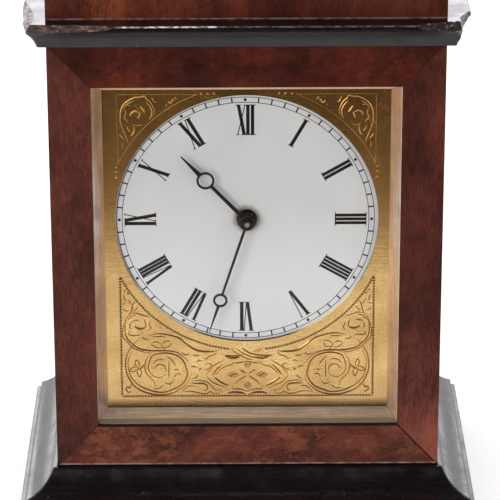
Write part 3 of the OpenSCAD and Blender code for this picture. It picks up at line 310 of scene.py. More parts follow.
def gilt(name, colour_a, colour_b, rough, pebble, brush, plate=False, cuts=False):
    """Fire-gilt brass: fine pebbled bloom over brushing, with small dark pits."""
    g = Nodes(name)
    brushed = g.noise(stretched(g, g.place, "x", 0.02), 4.0, 3.0, 0.6)
    grain = g.noise(g.place, 2.6, 4.0, 0.65)
    cloud = g.noise(g.place, 0.10, 3.0)
    pits = g.step(g.noise(g.place, 1.9, 1.0), 0.70, 0.80)
    tone = g.plus(g.times(cloud, 0.5), g.times(grain, 0.5))
    colour = g.mix(srgb(*colour_a), srgb(*colour_b), g.step(tone, 0.38, 0.62))
    colour = g.mix(colour, srgb(96, 66, 30), g.times(pits, 0.6))
    x, y, z = g.split()
    metallic = 1.0
    if plate:
        # Pebbled bloom lower down; rubbed lines higher up, painted paler there as a painted highlight; the
        # upper part painted darker, a painted reflection of the dark studio; painted shade and reflection along
        # the plate's foot.
        pebbles = g.times(g.step(grain, 0.40, 0.54, 0.72, 0.0), g.step(z, 60.0, 90.0, 1.0, 0.35))
        scratch_and_glint = stretched(g, g.warped(g.place, 0.2, 1.0), "x", 0.03)
        scratch_and_glint = g.step(g.noise(scratch_and_glint, 3.2, 3.0, 0.7), 0.50, 0.66)
        # Painted highlight: the rubbed lines are painted paler higher up.
        scratch_and_glint = g.times(scratch_and_glint, g.step(z, 60.0, 90.0, 0.1, 0.6))
        for shade, share in (((150, 112, 62), pebbles), ((255, 226, 170), scratch_and_glint),
                             # Painted reflection: the plate is painted darker higher up, where it mirrors the
                             # dark studio.
                             ((136, 98, 46), g.step(z, 66.0, 102.0, 0.0, 0.62)),
                             # Painted shade and painted reflection of the slip below: darker bands along the
                             # plate's foot.
                             ((164, 128, 82), g.step(z, 36.0, 48.0, 0.42, 0.0)),
                             ((104, 76, 38), g.step(z, 34.0, 36.6, 0.95, 0.0)),
                             ((62, 42, 24), g.step(z, 33.6, 34.0, 0.9, 0.0))):
            colour = g.mix(colour, srgb(*shade), share)
        # Painted on the hole's wall: shade at its foot, and a painted highlight, less metallic, where it turns
        # up to the light on either side.
        side = g.math("ABSOLUTE", x)
        turned = g.times(g.step(side, 12.0, 19.0), g.step(side, 30.0, 36.0, 1.0, 0.0))
        turned = g.times(turned, g.step(z, 70.0, 80.0, 1.0, 0.0))
        inside = g.step(y, MASK_Y + 0.03, MASK_Y + 0.16, 0.0, 1.0)
        colour = g.mix(colour, g.mix(srgb(70, 46, 26), srgb(255, 232, 178), turned), inside)
        metallic = g.minus(1.0, g.times(g.times(turned, inside), 0.85))
    if cuts:
        # The cuts keep a brown patina; higher up they are painted paler, a painted highlight where they catch
        # the light.
        colour = g.mix(colour, srgb(206, 158, 92), g.step(z, 84.0, 104.0, 0.0, 0.85))
    r = g.step(g.plus(g.times(grain, 0.6), g.times(cloud, 0.4)), 0.3, 0.7, rough - 0.05, rough + 0.08)
    height = g.plus(g.times(grain, pebble), g.times(brushed, brush))
    height = g.minus(height, g.times(pits, 0.5))
    return g.finish(Base_Color=colour, Metallic=metallic, Roughness=r,
                    Normal=g.bump(height, 0.05 if plate else 0.022, 0.6))


def metal(name, colour_a, colour_b, along, rough, brush, stain=None, cloud_size=0.08, streaks=None,
          darker_below=None, metallic=1.0):
    """Worked metal: brushing lines, soft tarnish clouds and varying gloss."""
    g = Nodes(name)
    lines = g.noise(stretched(g, g.place, along, 0.03) if along else g.place, 5.0, 3.0, 0.6)
    cloud = g.noise(g.warped(g.place, 0.1, 6.0), cloud_size, 4.0, 0.6)
    colour = g.mix(srgb(*colour_a), srgb(*colour_b), g.step(cloud, 0.35, 0.68))
    if streaks:
        broad = g.noise(stretched(g, g.warped(g.place, 0.15, 0.6), along, 0.03), 2.2, 4.0, 0.65)
        colour = g.mix(colour, srgb(*streaks), g.step(broad, 0.42, 0.60, 0.40, 0.0))
    if darker_below:
        # Darker below the given height.
        darkening = g.step(g.split()[2], darker_below - 0.1, darker_below + 0.15, 0.8, 0.0)
        colour = g.mix(colour, srgb(150, 132, 108), darkening)
    if stain:
        spots = g.step(g.noise(g.place, 0.7, 3.0, 0.7), 0.62, 0.75)
        colour = g.mix(colour, srgb(*stain), g.times(spots, 0.6))
    r = g.step(g.plus(g.times(cloud, 0.6), g.times(lines, 0.4)), 0.3, 0.7, rough - 0.06, rough + 0.12)
    return g.finish(Base_Color=colour, Metallic=metallic, Roughness=r, Normal=g.bump(lines, 0.02, brush))


def enamel(name):
    """Vitreous enamel: faintly uneven gloss, small iron specks, a green-black stain round the hands' hole."""
    g = Nodes(name)
    x, y, z = g.split()
    cloud = g.noise(g.place, 0.06, 3.0)
    colour = g.ramp(cloud, [(0.3, srgb(197, 197, 199)), (0.7, srgb(205, 205, 204))])
    # Painted light: lower down the enamel is painted lighter for light bounced up from the floor.
    colour = g.mix(colour, srgb(219, 219, 220), g.step(z, 62.0, 122.0, 0.72, 0.0))
    speck = g.cells(g.warped(g.place, 1.0, 0.6), 0.42)
    lone = g.noise(g.place, 0.21, 1.0)
    dots = g.times(g.step(speck, 0.035, 0.08, 1.0, 0.0), g.step(lone, 0.58, 0.62))
    colour = g.mix(colour, srgb(120, 118, 112), dots)
    dz = g.minus(z, DIAL_Z)
    away = g.math("SQRT", g.plus(g.times(x, x), g.times(dz, dz)))
    ragged = g.plus(away, g.times(g.noise(g.place, 0.9, 3.0), 1.4))
    colour = g.mix(colour, srgb(74, 84, 74), g.step(ragged, 3.6, 5.6, 0.75, 0.0))
    height = g.noise(g.place, 0.16, 2.0)
    return g.finish(Base_Color=colour, Roughness=0.16, Normal=g.bump(height, 0.10, 0.5),
                    Coat_Weight=0.3, Coat_Roughness=0.05)


def clear_glass(name, ior=1.45):
    """Thin old glass: lamps and bounced light pass straight through it."""
    g = Nodes(name)
    wave = g.noise(g.place, 0.03, 2.0)
    pane = g.add("BsdfPrincipled", Base_Color=(1, 1, 1, 1), Roughness=0.0, IOR=ior, Transmission_Weight=1.0,
                 Normal=g.bump(wave, 0.10, 0.6)).outputs[0]
    clear = g.add("BsdfTransparent").outputs[0]
    path = g.add("LightPath").outputs
    lamps = g.blend(path["Is Shadow Ray"], pane, clear)
    return g.close(g.blend(path["Is Diffuse Ray"], lamps, clear))


def ink(name):
    """Fired black enamel paint, a little uneven in strength."""
    g = Nodes(name)
    thin = g.noise(g.place, 1.5, 3.0)
    colour = g.ramp(thin, [(0.25, srgb(8, 7, 7)), (0.8, srgb(22, 20, 19))])
    return g.finish(Base_Color=colour, Roughness=0.5, Specular_IOR_Level=0.2,
                    Normal=g.bump(thin, 0.01, 0.5))


def black_paint(name):
    """Black lacquer on the hands, thin and a little dusty."""
    g = Nodes(name)
    dust = g.noise(g.place, 1.1, 4.0, 0.6)
    colour = g.ramp(dust, [(0.35, srgb(8, 6, 6)), (0.75, srgb(24, 20, 20))])
    return g.finish(Base_Color=colour, Roughness=g.step(dust, 0.3, 0.7, 0.30, 0.48),
                    Specular_IOR_Level=0.3, Normal=g.bump(dust, 0.01, 0.5))


MAT = {
    "gilt_mask": gilt("gilt_mask", (226, 192, 128), (204, 166, 102), 0.21, 0.5, 0.6, plate=True),
    "gilt_cut": gilt("gilt_cut", (148, 98, 42), (116, 70, 26), 0.34, 0.3, 0.2, cuts=True),
    "gilt_nick": gilt("gilt_nick", (84, 54, 22), (62, 38, 16), 0.40, 0.3, 0.2),
    "gilt_ridge": gilt("gilt_ridge", (240, 202, 132), (216, 172, 104), 0.24, 0.2, 0.2),
    # The four slips are one brass in paler and darker copies, the head palest and least metallic: painted light
    # for how each faces the lamps.
    "slip_foot": metal("slip_brass_foot", (246, 230, 208), (220, 202, 178), "x", 0.40, 0.9,
                       (140, 120, 94), streaks=(150, 134, 112), darker_below=31.2, metallic=0.8),
    "slip_head": metal("slip_brass_head", (254, 240, 218), (248, 228, 200), "x", 0.50, 0.5,
                       (206, 182, 150), metallic=0.8),
    "slip_left": metal("slip_brass_left", (236, 220, 216), (200, 178, 168), "z", 0.34, 0.7,
                       (146, 116, 96), 0.06, (160, 136, 118)),
    "slip_right": metal("slip_brass_right", (252, 234, 220), (226, 200, 182), "z", 0.36, 0.7,
                        (166, 136, 112), 0.06, (186, 158, 136)),
    "brass": metal("brass_brushed", (214, 178, 110), (190, 148, 84), "x", 0.28, 0.7),
    "brass_fine": metal("brass_turned", (220, 184, 116), (200, 158, 92), None, 0.24, 0.3),
    "steel": metal("steel_polished", (178, 178, 182), (150, 150, 156), "y", 0.22, 0.4),
    "blued": metal("steel_blued", (46, 52, 84), (34, 38, 64), None, 0.20, 0.2),
    "hand_black": black_paint("hand_black"),
    "white": enamel("enamel_white"),
    "ink": ink("dial_ink"),
    "glass": clear_glass("clear_glass"),
    "glass_front": clear_glass("clear_glass_front", 1.2),
    "edge": ebony("ebony_edge", (0, 0, 0)),
}


def dress(node, material, width=None, segments=2):
    """Gives a CAD node its material, and softens its edges with modifiers alone; its mesh stays as it is."""
    for slot in CAD[node].material_slots:
        slot.material = material
    if width:
        soften(CAD[node], width, segments)
        even_normals(CAD[node])


def soften(o, width, segments=2):
    weld = o.modifiers.new("weld", "WELD")
    weld.merge_threshold = 0.004 * MM
    bevel = o.modifiers.new("ease", "BEVEL")
    bevel.width = width * MM
    bevel.segments = segments
    bevel.limit_method = "ANGLE"
    bevel.angle_limit = math.radians(35)
    bevel.use_clamp_overlap = True


def even_normals(o):
    normals = o.modifiers.new("normals", "WEIGHTED_NORMAL")
    normals.keep_sharp = False
    normals.weight = 80


# Where the front's mitred frame pieces meet: from each outer corner to the opening's corner.
TOP_LEFT = ((-57, 149.4), (-44.6, 136.4), 0.12, 0.45)
TOP_RIGHT = ((57, 149.4), (44.6, 136.4), 0.12, 0.35)
LOW_LEFT = ((-57, 17), (-44.6, 30.4), 0.13, 0.55)
LOW_RIGHT = ((57, 17), (44.6, 30.4), 0.22, 1.0)
# A painted shadow line in the gap under the bottom slip.
SHADOW_UNDER_SLIP = ((-44.6, 30.2), (44.6, 30.2), 0.26, 1.0)
# Case woods: grain direction, place in the pattern, tones, patches, curls, fibres, and burr's other values
WOODS = {
    "front_rail_top": ("x", (11, 3, 40), DEEP, 0.60, 0.60, 0.40, (TOP_LEFT, TOP_RIGHT), None, 0.85),
    "front_rail_bottom": ("x", (210, 8, 5), WARM, 0.60, 0.95, 0.30, (LOW_LEFT, LOW_RIGHT, SHADOW_UNDER_SLIP),
                          (17.55, 17.85, 0.85), 0.6),
    "front_stile_left": ("z", (95, 4, 260), STILE, 0.55, 0.45, 0.75, (TOP_LEFT, LOW_LEFT)),
    "front_stile_right": ("z", (330, 4, 90), STILE_DARK, 0.55, 0.45, 0.70, (TOP_RIGHT, LOW_RIGHT), None,
                          0.55, None, (20, 75, 0.9)),
    "side_board_left": ("z", (40, 150, 70), STILE, 0.65, 0.60, 0.60),
    "side_board_right": ("z", (140, 40, 170), STILE, 0.65, 0.60, 0.60),
    "upper_block": ("z", (60, 200, 20), FLAME, 0.58, 0.50, 0.32, (), (156.8, 157.0, 0.75), 0.30,
                    (-40, 8, 0.4)),
    "door_frame": ("z", (20, 20, 20), STILE, 0.60, 0.50, 0.60),
}
for node, (along, seed, *look) in WOODS.items():
    dress(node, burr("burr_" + node, along, seed, *look), 0.18)
# Ebonised pieces: grain direction, place in the pattern, gloss, specks, coat, painted arris highlight, gleam
# A painted highlight along the cornice's front edge, strongest towards its left.
PAINTED_ARRIS_HIGHLIGHT = (CORNICE_Y, CORNICE_TOP, ((-40, -6, 0.9), (-12, 52, 0.15)))
EBONY_EDGE = 0.35            # width of their softened edges
EBONIES = {
    "base_board": ("x", (5, 5, 5)),
    "base_moulding_front": ("x", (60, 0, 9), 0.24, 0.90, 0.35),
    "base_moulding_left": ("y", (0, 60, 2), 0.20, 0.75, 0.50, None, 0.42),
    "base_moulding_right": ("y", (9, 120, 4), 0.24, 0.75, 0.25, None, 0.42),
    "cornice_board": ("x", (2, 7, 33)),
    "cornice_front": ("x", (80, 3, 50), 0.38, 0.75, 0.14, PAINTED_ARRIS_HIGHLIGHT, 0.40),
    "cornice_left": ("y", (3, 44, 80), 0.30, 0.75, 0.5),
    "cornice_right": ("y", (7, 14, 90), 0.30, 0.75, 0.5),
}
for node, (along, seed, *look) in EBONIES.items():
    dress(node, ebony("ebony_" + node, seed, along, *look), EBONY_EDGE)
dress("dial_mask", MAT["gilt_mask"], 0.30, 3)
# The other nodes: look, width of the softened edge, names
for look, width, nodes in (
        ("slip_head", 0.22, "bezel_slip_top"), ("slip_foot", 0.22, "bezel_slip_bottom"),
        ("slip_left", 0.22, "bezel_slip_left"), ("slip_right", 0.22, "bezel_slip_right"),
        ("glass_front", None, "front_glass"), ("glass", None, "door_glass"), ("white", None, "enamel_dial"),
        ("hand_black", 0.12, "hour_hand minute_hand"), ("hand_black", None, "hand_collet"),
        ("brass", 0.12, "front_plate back_plate platform_plate lever_bridge balance_cock"),
        ("brass_fine", None, "plate_pillars barrel barrel_cap centre_wheel cannon_pinion minute_wheel "
                             "hour_wheel third_wheel contrate_wheel escape_wheel balance_wheel dial_posts "
                             "door_catch fixed_hinge_leaves door_hinge_leaves"),
        ("steel", None, "mask_screws pillar_screws ratchet_wheel click click_spring centre_arbor "
                        "barrel_arbor third_arbor contrate_arbor pallet_lever regulator_index"),
        ("blued", None, "mainspring hairspring")):
    for node in nodes.split():
        dress(node, MAT[look], width)


# ---------------------------------------------------------------------------
# Shapes made here
# ---------------------------------------------------------------------------
def link(name, data):
    """A new object in the scene."""
    o = bpy.data.objects.new(name, data)
    bpy.context.scene.collection.objects.link(o)
    return o


CELL = 0.30              # grid of the broken faces


def cutter(name, origin, normal, along, spans, depth, surface):
    """A closed block for cutting broken wood away. It lies on the side of a plane that normal points to, and
    its inner face follows surface(place), where place is the point on the plane."""
    n = Vector(normal).normalized()
    u_way = Vector(along)
    u_way = (u_way - n * u_way.dot(n)).normalized()
    v_way = n.cross(u_way)
    (u0, u1), (v0, v1) = spans
    nu, nv = int((u1 - u0) / CELL) + 2, int((v1 - v0) / CELL) + 2
    verts = []
    for far in (False, True):
        for u in np.linspace(u0, u1, nu):
            for v in np.linspace(v0, v1, nv):
                p = Vector(origin) + u_way * u + v_way * v
                verts.append((p + n * (depth if far else surface(p))) * MM)
    faces = []
    for start in (0, nu * nv):
        for i in range(nu - 1):
            for j in range(nv - 1):
                k = start + i * nv + j
                quad = (k, k + nv, k + nv + 1, k + 1)
                faces.append(quad if start else quad[::-1])
    rim = [i * nv for i in range(nu)] + [(nu - 1) * nv + j for j in range(1, nv)]
    rim += [i * nv + nv - 1 for i in range(nu - 2, -1, -1)] + list(range(nv - 2, 0, -1))
    for a, b in zip(rim, rim[1:] + rim[:1]):
        faces.append((a, b, b + nu * nv, a + nu * nv))
    mesh = bpy.data.meshes.new(name)
    mesh.from_pydata(verts, [], faces)
    # The cut faces take the second material of the moulding.
    mesh.materials.append(MAT["edge"])
    mesh.materials.append(MAT["edge"])
    mesh.polygons.foreach_set("material_index", np.ones(len(faces), np.int32))
    mesh.update()
    return link(name, mesh)


def rough_wood(place, size, along, height):
    """Height of broken wood: ridges drawn out along the grain."""
    q = Vector(place) * size
    q["xyz".index(along)] *= 0.22
    ridge = fractal.noise(q) + 0.5 * fractal.noise(q * 2.3 + Vector((7, 3, 1)))
    return height * (ridge + 0.3 * fractal.noise(q * 5.1 + Vector((1, 9, 4))))


def worn(node, cutters, broken):
    """A copy of a moulding with its broken edges cut away. It stands in the CAD node's place."""
    mesh = CAD[node].data.copy()
    mesh.transform(CAD[node].matrix_world)
    whole = CAD[node].material_slots[0].material
    mesh.materials.clear()
    mesh.materials.append(whole)
    mesh.materials.append(broken)
    raw = link(node + "_raw", mesh)
    soften(raw, EBONY_EDGE)
    for block in cutters:
        cut = raw.modifiers.new("cut", "BOOLEAN")
        cut.operation = "DIFFERENCE"
        cut.solver = "EXACT"
        cut.object = block
    bpy.context.view_layer.update()
    done = bpy.data.meshes.new_from_object(raw.evaluated_get(bpy.context.evaluated_depsgraph_get()))
    done.name = node + "_worn"
    done.polygons.foreach_set("use_smooth", np.ones(len(done.polygons), bool))
    done.update()
    bpy.data.objects.remove(raw)
    o = link(node + "_worn", done)
    even_normals(o)
    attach(o, "case")
    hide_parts(node)


def from_table(at, places, values):
    return float(np.interp(at, places, values))


def left_edge(p):
    """The left return's outer top edge, broken away downwards from a ragged line on its top."""
    line = from_table(p.y, (-47, -41.5, -35.5, -29.9, -20.7, -16.4),
                      (-61.6, -61.3, -60.5, -60.2, -62.2, -63.2))
    fall = from_table(p.y, (-42, -39.4, -36, -33, -30, -16), (2.2, 2.0, 1.1, 0.62, 0.52, 0.50))
    out = line + rough_wood((p.x * 0.2, p.y * 3, 0), 0.7, "z", 0.35) - p.x
    return CORNICE_TOP - (fall if out > 0 else 1.6) * out + rough_wood(p, 0.9, "y", 0.22)


def left_nose(p):
    return from_table(p.z, (149.0, 149.98, 151.52, 152.79, 154.23, 155.12, 157),
                      (67.2, 67.8, 68.67, 69.76, 71.57, 72.1, 72.3)) + rough_wood(p, 1.0, "x", 0.16)


def left_arris(p):
    return -2.06 * from_table(p.x, (-66, -58, -50, -44, -37, -35),
                              (1.05, 1.0, 0.88, 0.60, 0.12, -0.4)) + rough_wood(p, 1.1, "x", 0.32)


def right_corner(p):
    edge = from_table(p.y, (-43, -39.6, -33.4, -30.5, -27.6, -26.9, -26.6),
                      (60.4, 60.5, 60.5, 61.7, 63.2, 64.4, 66.0))
    return edge + 0.35 * math.exp(-((p.z - 154.3) / 1.2) ** 2) + rough_wood(p, 0.9, "z", 0.22)


def right_nose(p):
    return from_table(p.z, (149.0, 149.62, 150.62, 152.33, 153.62, 155, 157),
                      (67.2, 67.8, 68.32, 69.38, 69.9, 70.6, 70.8)) + rough_wood(p, 1.0, "x", 0.20)


def right_arris(p):
    return -2.81 * from_table(p.x, (46, 48.5, 50, 54, 58, 61, 66),
                              (-0.2, 0.15, 0.42, 0.66, 0.88, 1.0, 1.1)) + rough_wood(p, 1.0, "z", 0.62)


# Each cutter: where its plane starts, the plane's normal, the direction of u, spans of u and v, depth, surface
ROOT, ARRIS = (0, 0, 153), (0, CORNICE_Y, CORNICE_TOP)
left_cuts = [
    cutter("cut_left_edge", (0, 0, 0), (0, 0, 1), (1, 0, 0), ((-70, -58.2), (-47, -16.4)), 165, left_edge),
    cutter("cut_left_nose", ROOT, (-1, -1, 0), (1, -1, 0), ((-30, -8), (-8, 8)), 80, left_nose),
    cutter("cut_left_arris", ARRIS, (0, -0.894, 0.447), (1, 0, 0), ((-67, -34), (-5, 5)), 8, left_arris),
]
right_cuts = [
    cutter("cut_right_corner", ROOT, (1, 0, 0), (0, 1, 0), ((-47, -26.6), (-8, 8)), 72, right_corner),
    cutter("cut_right_nose", ROOT, (1, -1, 0), (1, 1, 0), ((8, 30), (-8, 8)), 80, right_nose),
    cutter("cut_right_arris", ARRIS, (0, -0.625, 0.781), (1, 0, 0), ((45, 67), (-7, 7)), 9, right_arris),
]
worn("cornice_front", left_cuts + right_cuts,
     splintered("break_front", "x", (3, 1, 7), BROWN_BREAK, 0.3, DARK_BREAK_GLINTS))
worn("cornice_left", left_cuts, splintered("break_left", "y", (5, 5, 5), GREY_BREAK_SHEEN, 0.6, None, 0.5))
worn("cornice_right", right_cuts, splintered("break_right", "y", (8, 2, 6), DARK_BREAK_GLINTS, 0.5))
for block in left_cuts + right_cuts:
    bpy.data.objects.remove(block)


def curve_through(points, spacing):
    """A smooth line through points (Catmull-Rom), evenly spaced."""
    pts = np.array(points, float)
    closed = len(pts) > 2 and np.hypot(*(pts[0] - pts[-1])) < 1e-6
    if len(pts) == 2:
        fine = np.linspace(pts[0], pts[1], 9)
    else:
        ends = (pts[-2], pts[1]) if closed else (2 * pts[0] - pts[1], 2 * pts[-1] - pts[-2])
        q = np.vstack([ends[0], pts, ends[1]])
        fine = []
        for a, b, c, d in zip(q, q[1:], q[2:], q[3:]):
            for t in np.linspace(0, 1, 12, endpoint=False):
                fine.append(0.5 * (2 * b + (c - a) * t + (2 * a - 5 * b + 4 * c - d) * t * t
                                   + (3 * b - a - 3 * c + d) * t ** 3))
        fine.append(q[-2])
        fine = np.array(fine)
    run = np.concatenate([[0], np.cumsum(np.hypot(*np.diff(fine, axis=0).T))])
    at = np.linspace(0, run[-1], max(2, int(round(run[-1] / spacing)) + 1))
    return np.stack([np.interp(at, run, fine[:, 0]), np.interp(at, run, fine[:, 1])], 1)


def directions(line):
    """The unit direction at each place of a line."""
    way = np.gradient(line, axis=0)
    return way / np.maximum(np.hypot(*way.T), 1e-9)[:, None]


# A cut line across: side place as a share of its half width, and height. A lip stands on either side of it.
LIP = 0.085
ACROSS = ((-1.0, -0.012), (-0.66, LIP), (0.0, 0.004), (0.66, LIP), (1.0, -0.012))
CUT_STEP = 0.35          # distance of a cut's places along it
SUNK = -0.01             # how far the foot of a plate lies under its plane


class Sheet:
    """Gathers flat-lying detail on a plane y = const: x and z across, height towards the viewer."""

    def __init__(self, y):
        self.y = y
        self.verts = []
        self.faces = []
        self.slots = []

    def add(self, points, faces, slot=0):
        """points: (x, z, height); faces wind counter-clockwise as seen from the front."""
        start = len(self.verts)
        self.verts += [(x, self.y - h, z) for x, z, h in points]
        self.faces += [tuple(start + i for i in f) for f in faces]
        self.slots += [slot] * len(faces)

    def slab(self, outline, height):
        """A thin plate of convex outline (counter-clockwise from the front) standing on the plane."""
        n = len(outline)
        pts = [(x, z, height) for x, z in outline] + [(x, z, SUNK) for x, z in outline]
        faces = [tuple(range(n))] + [(i, n + i, n + (i + 1) % n, (i + 1) % n) for i in range(n)]
        self.add(pts, faces)

    def ring(self, cx, cz, r_in, r_out, height, steps=240):
        pts = []
        for r, h in ((r_in, SUNK), (r_in, height), (r_out, height), (r_out, SUNK)):
            for i in range(steps):
                a = 2 * math.pi * i / steps
                pts.append((cx + r * math.cos(a), cz + r * math.sin(a), h))
        faces = []
        for k in range(3):
            for i in range(steps):
                j = (i + 1) % steps
                faces.append((k * steps + i, (k + 1) * steps + i, (k + 1) * steps + j, k * steps + j))
        self.add(pts, faces)

    def dome(self, cx, cz, r, height, sides):
        pts = [(cx, cz, height)]
        for share, h in ((0.6, 0.75), (1.0, -0.1)):
            for i in range(sides):
                a = 2 * math.pi * i / sides
                pts.append((cx + r * share * math.cos(a), cz + r * share * math.sin(a), height * h))
        faces = [(0, 1 + i, 1 + (i + 1) % sides) for i in range(sides)]
        faces += [(1 + i, 1 + sides + i, 1 + sides + (i + 1) % sides, 1 + (i + 1) % sides)
                  for i in range(sides)]
        self.add(pts, faces)

    def groove(self, points, width, taper=0.8):
        """A cut line: a channel with small raised lips. It narrows towards its ends by taper."""
        line = curve_through(points, CUT_STEP)
        way = directions(line)
        side = np.stack([-way[:, 1], way[:, 0]], 1)
        swell = 1 - taper * np.abs(2 * np.linspace(0, 1, len(line)) - 1) ** 2.5
        # The upper half is cut finer.
        swell = swell * np.interp(line[:, 1], (84, 100), (1.0, 0.62))
        pts = []
        for middle, out, size in zip(line, side, swell):
            for u, h in ACROSS:
                p = middle + out * u * width * 0.5 * size
                pts.append((p[0], p[1], h if h < LIP else h * max(0.35, size)))
        k, n = len(ACROSS), len(line) - 1
        self.add(pts, [(i * k + j, (i + 1) * k + j, (i + 1) * k + j + 1, i * k + j + 1)
                       for j in range(k - 1) for i in range(n)])
        # The channel's two middle strips have the second material, its lips the first.
        self.slots[-4 * n:] = [0] * n + [1] * 2 * n + [0] * n

    def make(self, name, materials, body):
        """Makes the piece, riding on a body."""
        mesh = bpy.data.meshes.new(name)
        mesh.from_pydata([Vector(v) * MM for v in self.verts], [], self.faces)
        for m in materials:
            mesh.materials.append(m)
        mesh.polygons.foreach_set("material_index", np.array(self.slots, np.int32))
        mesh.polygons.foreach_set("use_smooth", np.zeros(len(self.faces), bool))
        mesh.update()
        o = link(name, mesh)
        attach(o, body)


# Dial printing: numerals stand on their feet towards the centre, with a minute track outside them.
INK_H = 0.02                         # height of the fired ink
THIN = 0.28                          # width of thin strokes
SERIF, WING, BRACKET = 0.26, 0.42, 0.3     # serifs: their thickness, and how far they stand out
R_FEET, R_TOPS = 26.2, 35.5
TRACK_IN, TRACK_OUT, TRACK_W = 36.2, 37.8, 0.20
DASH, DOT = 0.42, 0.45               # the minutes: width of a dash, radius of a dot
PRINT_X, PRINT_Z = -0.38, 93.03      # the fired printing sits a little off the hole's centre
printing = Sheet(ENAMEL_Y)


def on_dial(angle, s, r):
    """A place r out from the printing's centre along angle (clockwise from 12), and s clockwise of it."""
    return (PRINT_X + r * math.sin(angle) + s * math.cos(angle),
            PRINT_Z + r * math.cos(angle) - s * math.sin(angle))


def stroke(angle, foot, top, width, r_low=R_FEET, r_high=R_TOPS):
    """One stroke of a numeral from its foot (s at the foot) to its top."""
    w = width / 2
    quad = [(foot - w, r_low), (foot + w, r_low), (top + w, r_high), (top - w, r_high)]
    printing.slab([on_dial(angle, s, r) for s, r in quad], INK_H)


def serif(angle, low, high, a, b):
    """A hairline across a stroke's end, from low to high along the ring between a and b."""
    printing.slab([on_dial(angle, s, q) for s, q in ((low, a), (high, a), (high, b), (low, b))], INK_H)


# Each hour: its letters from left to right with the place of each letter's middle, and the width of its
# thick strokes.
NUMERALS = {
    12: ([("X", -1.15), ("I", 0.75), ("I", 2.10)], 1.00), 1: ([("I", 0.0)], 1.05),
    2: ([("I", -0.62), ("I", 0.62)], 0.98), 3: ([("I", -1.2), ("I", 0.0), ("I", 1.2)], 0.94),
    4: ([("I", -1.56), ("I", -0.52), ("I", 0.52), ("I", 1.56)], 0.82), 5: ([("V", 0.0)], 1.05),
    6: ([("V", -0.60), ("I", 1.20)], 1.05), 7: ([("V", -1.45), ("I", 0.35), ("I", 1.55)], 0.95),
    8: ([("V", -1.85), ("I", -0.15), ("I", 0.87), ("I", 1.89)], 0.88), 9: ([("I", -1.15), ("X", 0.65)], 1.05),
    10: ([("X", 0.0)], 1.05), 11: ([("X", -0.70), ("I", 1.15)], 1.05),
}
for hour, (letters, thick) in NUMERALS.items():
    angle = math.radians(30 * hour)
    w = thick / 2
    feet, tops = [], []
    for letter, s in letters:
        if letter == "I":
            stroke(angle, s, s, thick)
            feet.append((s - w - WING, s + w + WING))
            tops.append((s - w - WING, s + w + WING))
        elif letter == "V":
            top, apex = s - 1.05, s + 0.12
            stroke(angle, apex, top, thick * 0.92)
            stroke(angle, apex + 0.3, s + 1.15, THIN, R_FEET + 0.1)
            tops += [(top - w - BRACKET, top + w + BRACKET), (s + 0.85, s + 1.5)]
        else:
            foot, top = s + 0.85, s - 0.85
            stroke(angle, foot, top, thick)
            stroke(angle, s - 1.05, s + 1.05, THIN)
            feet += [(foot - w - BRACKET, foot + w + BRACKET), (s - 1.45, s - 0.65)]
            tops += [(top - w - BRACKET, top + w + BRACKET), (s + 0.65, s + 1.45)]
    for low, high in feet:
        serif(angle, low, high, R_FEET, R_FEET + SERIF)
    for low, high in tops:
        serif(angle, low, high, R_TOPS - SERIF, R_TOPS)
for r in (TRACK_IN, TRACK_OUT):
    printing.ring(PRINT_X, PRINT_Z, r - TRACK_W / 2, r + TRACK_W / 2, INK_H)
for minute in range(60):
    angle = math.radians(6 * minute)
    if minute % 5:
        stroke(angle, 0, 0, DASH, TRACK_IN, TRACK_OUT)
    else:
        x, z = on_dial(angle, 0, (TRACK_IN + TRACK_OUT) / 2)
        turns = np.linspace(0, 2 * math.pi, 17)[:-1]
        printing.slab([(x + DOT * math.cos(a), z + DOT * math.sin(a)) for a in turns], INK_H)
printing.make("dial_printing", [MAT["ink"]], "case")

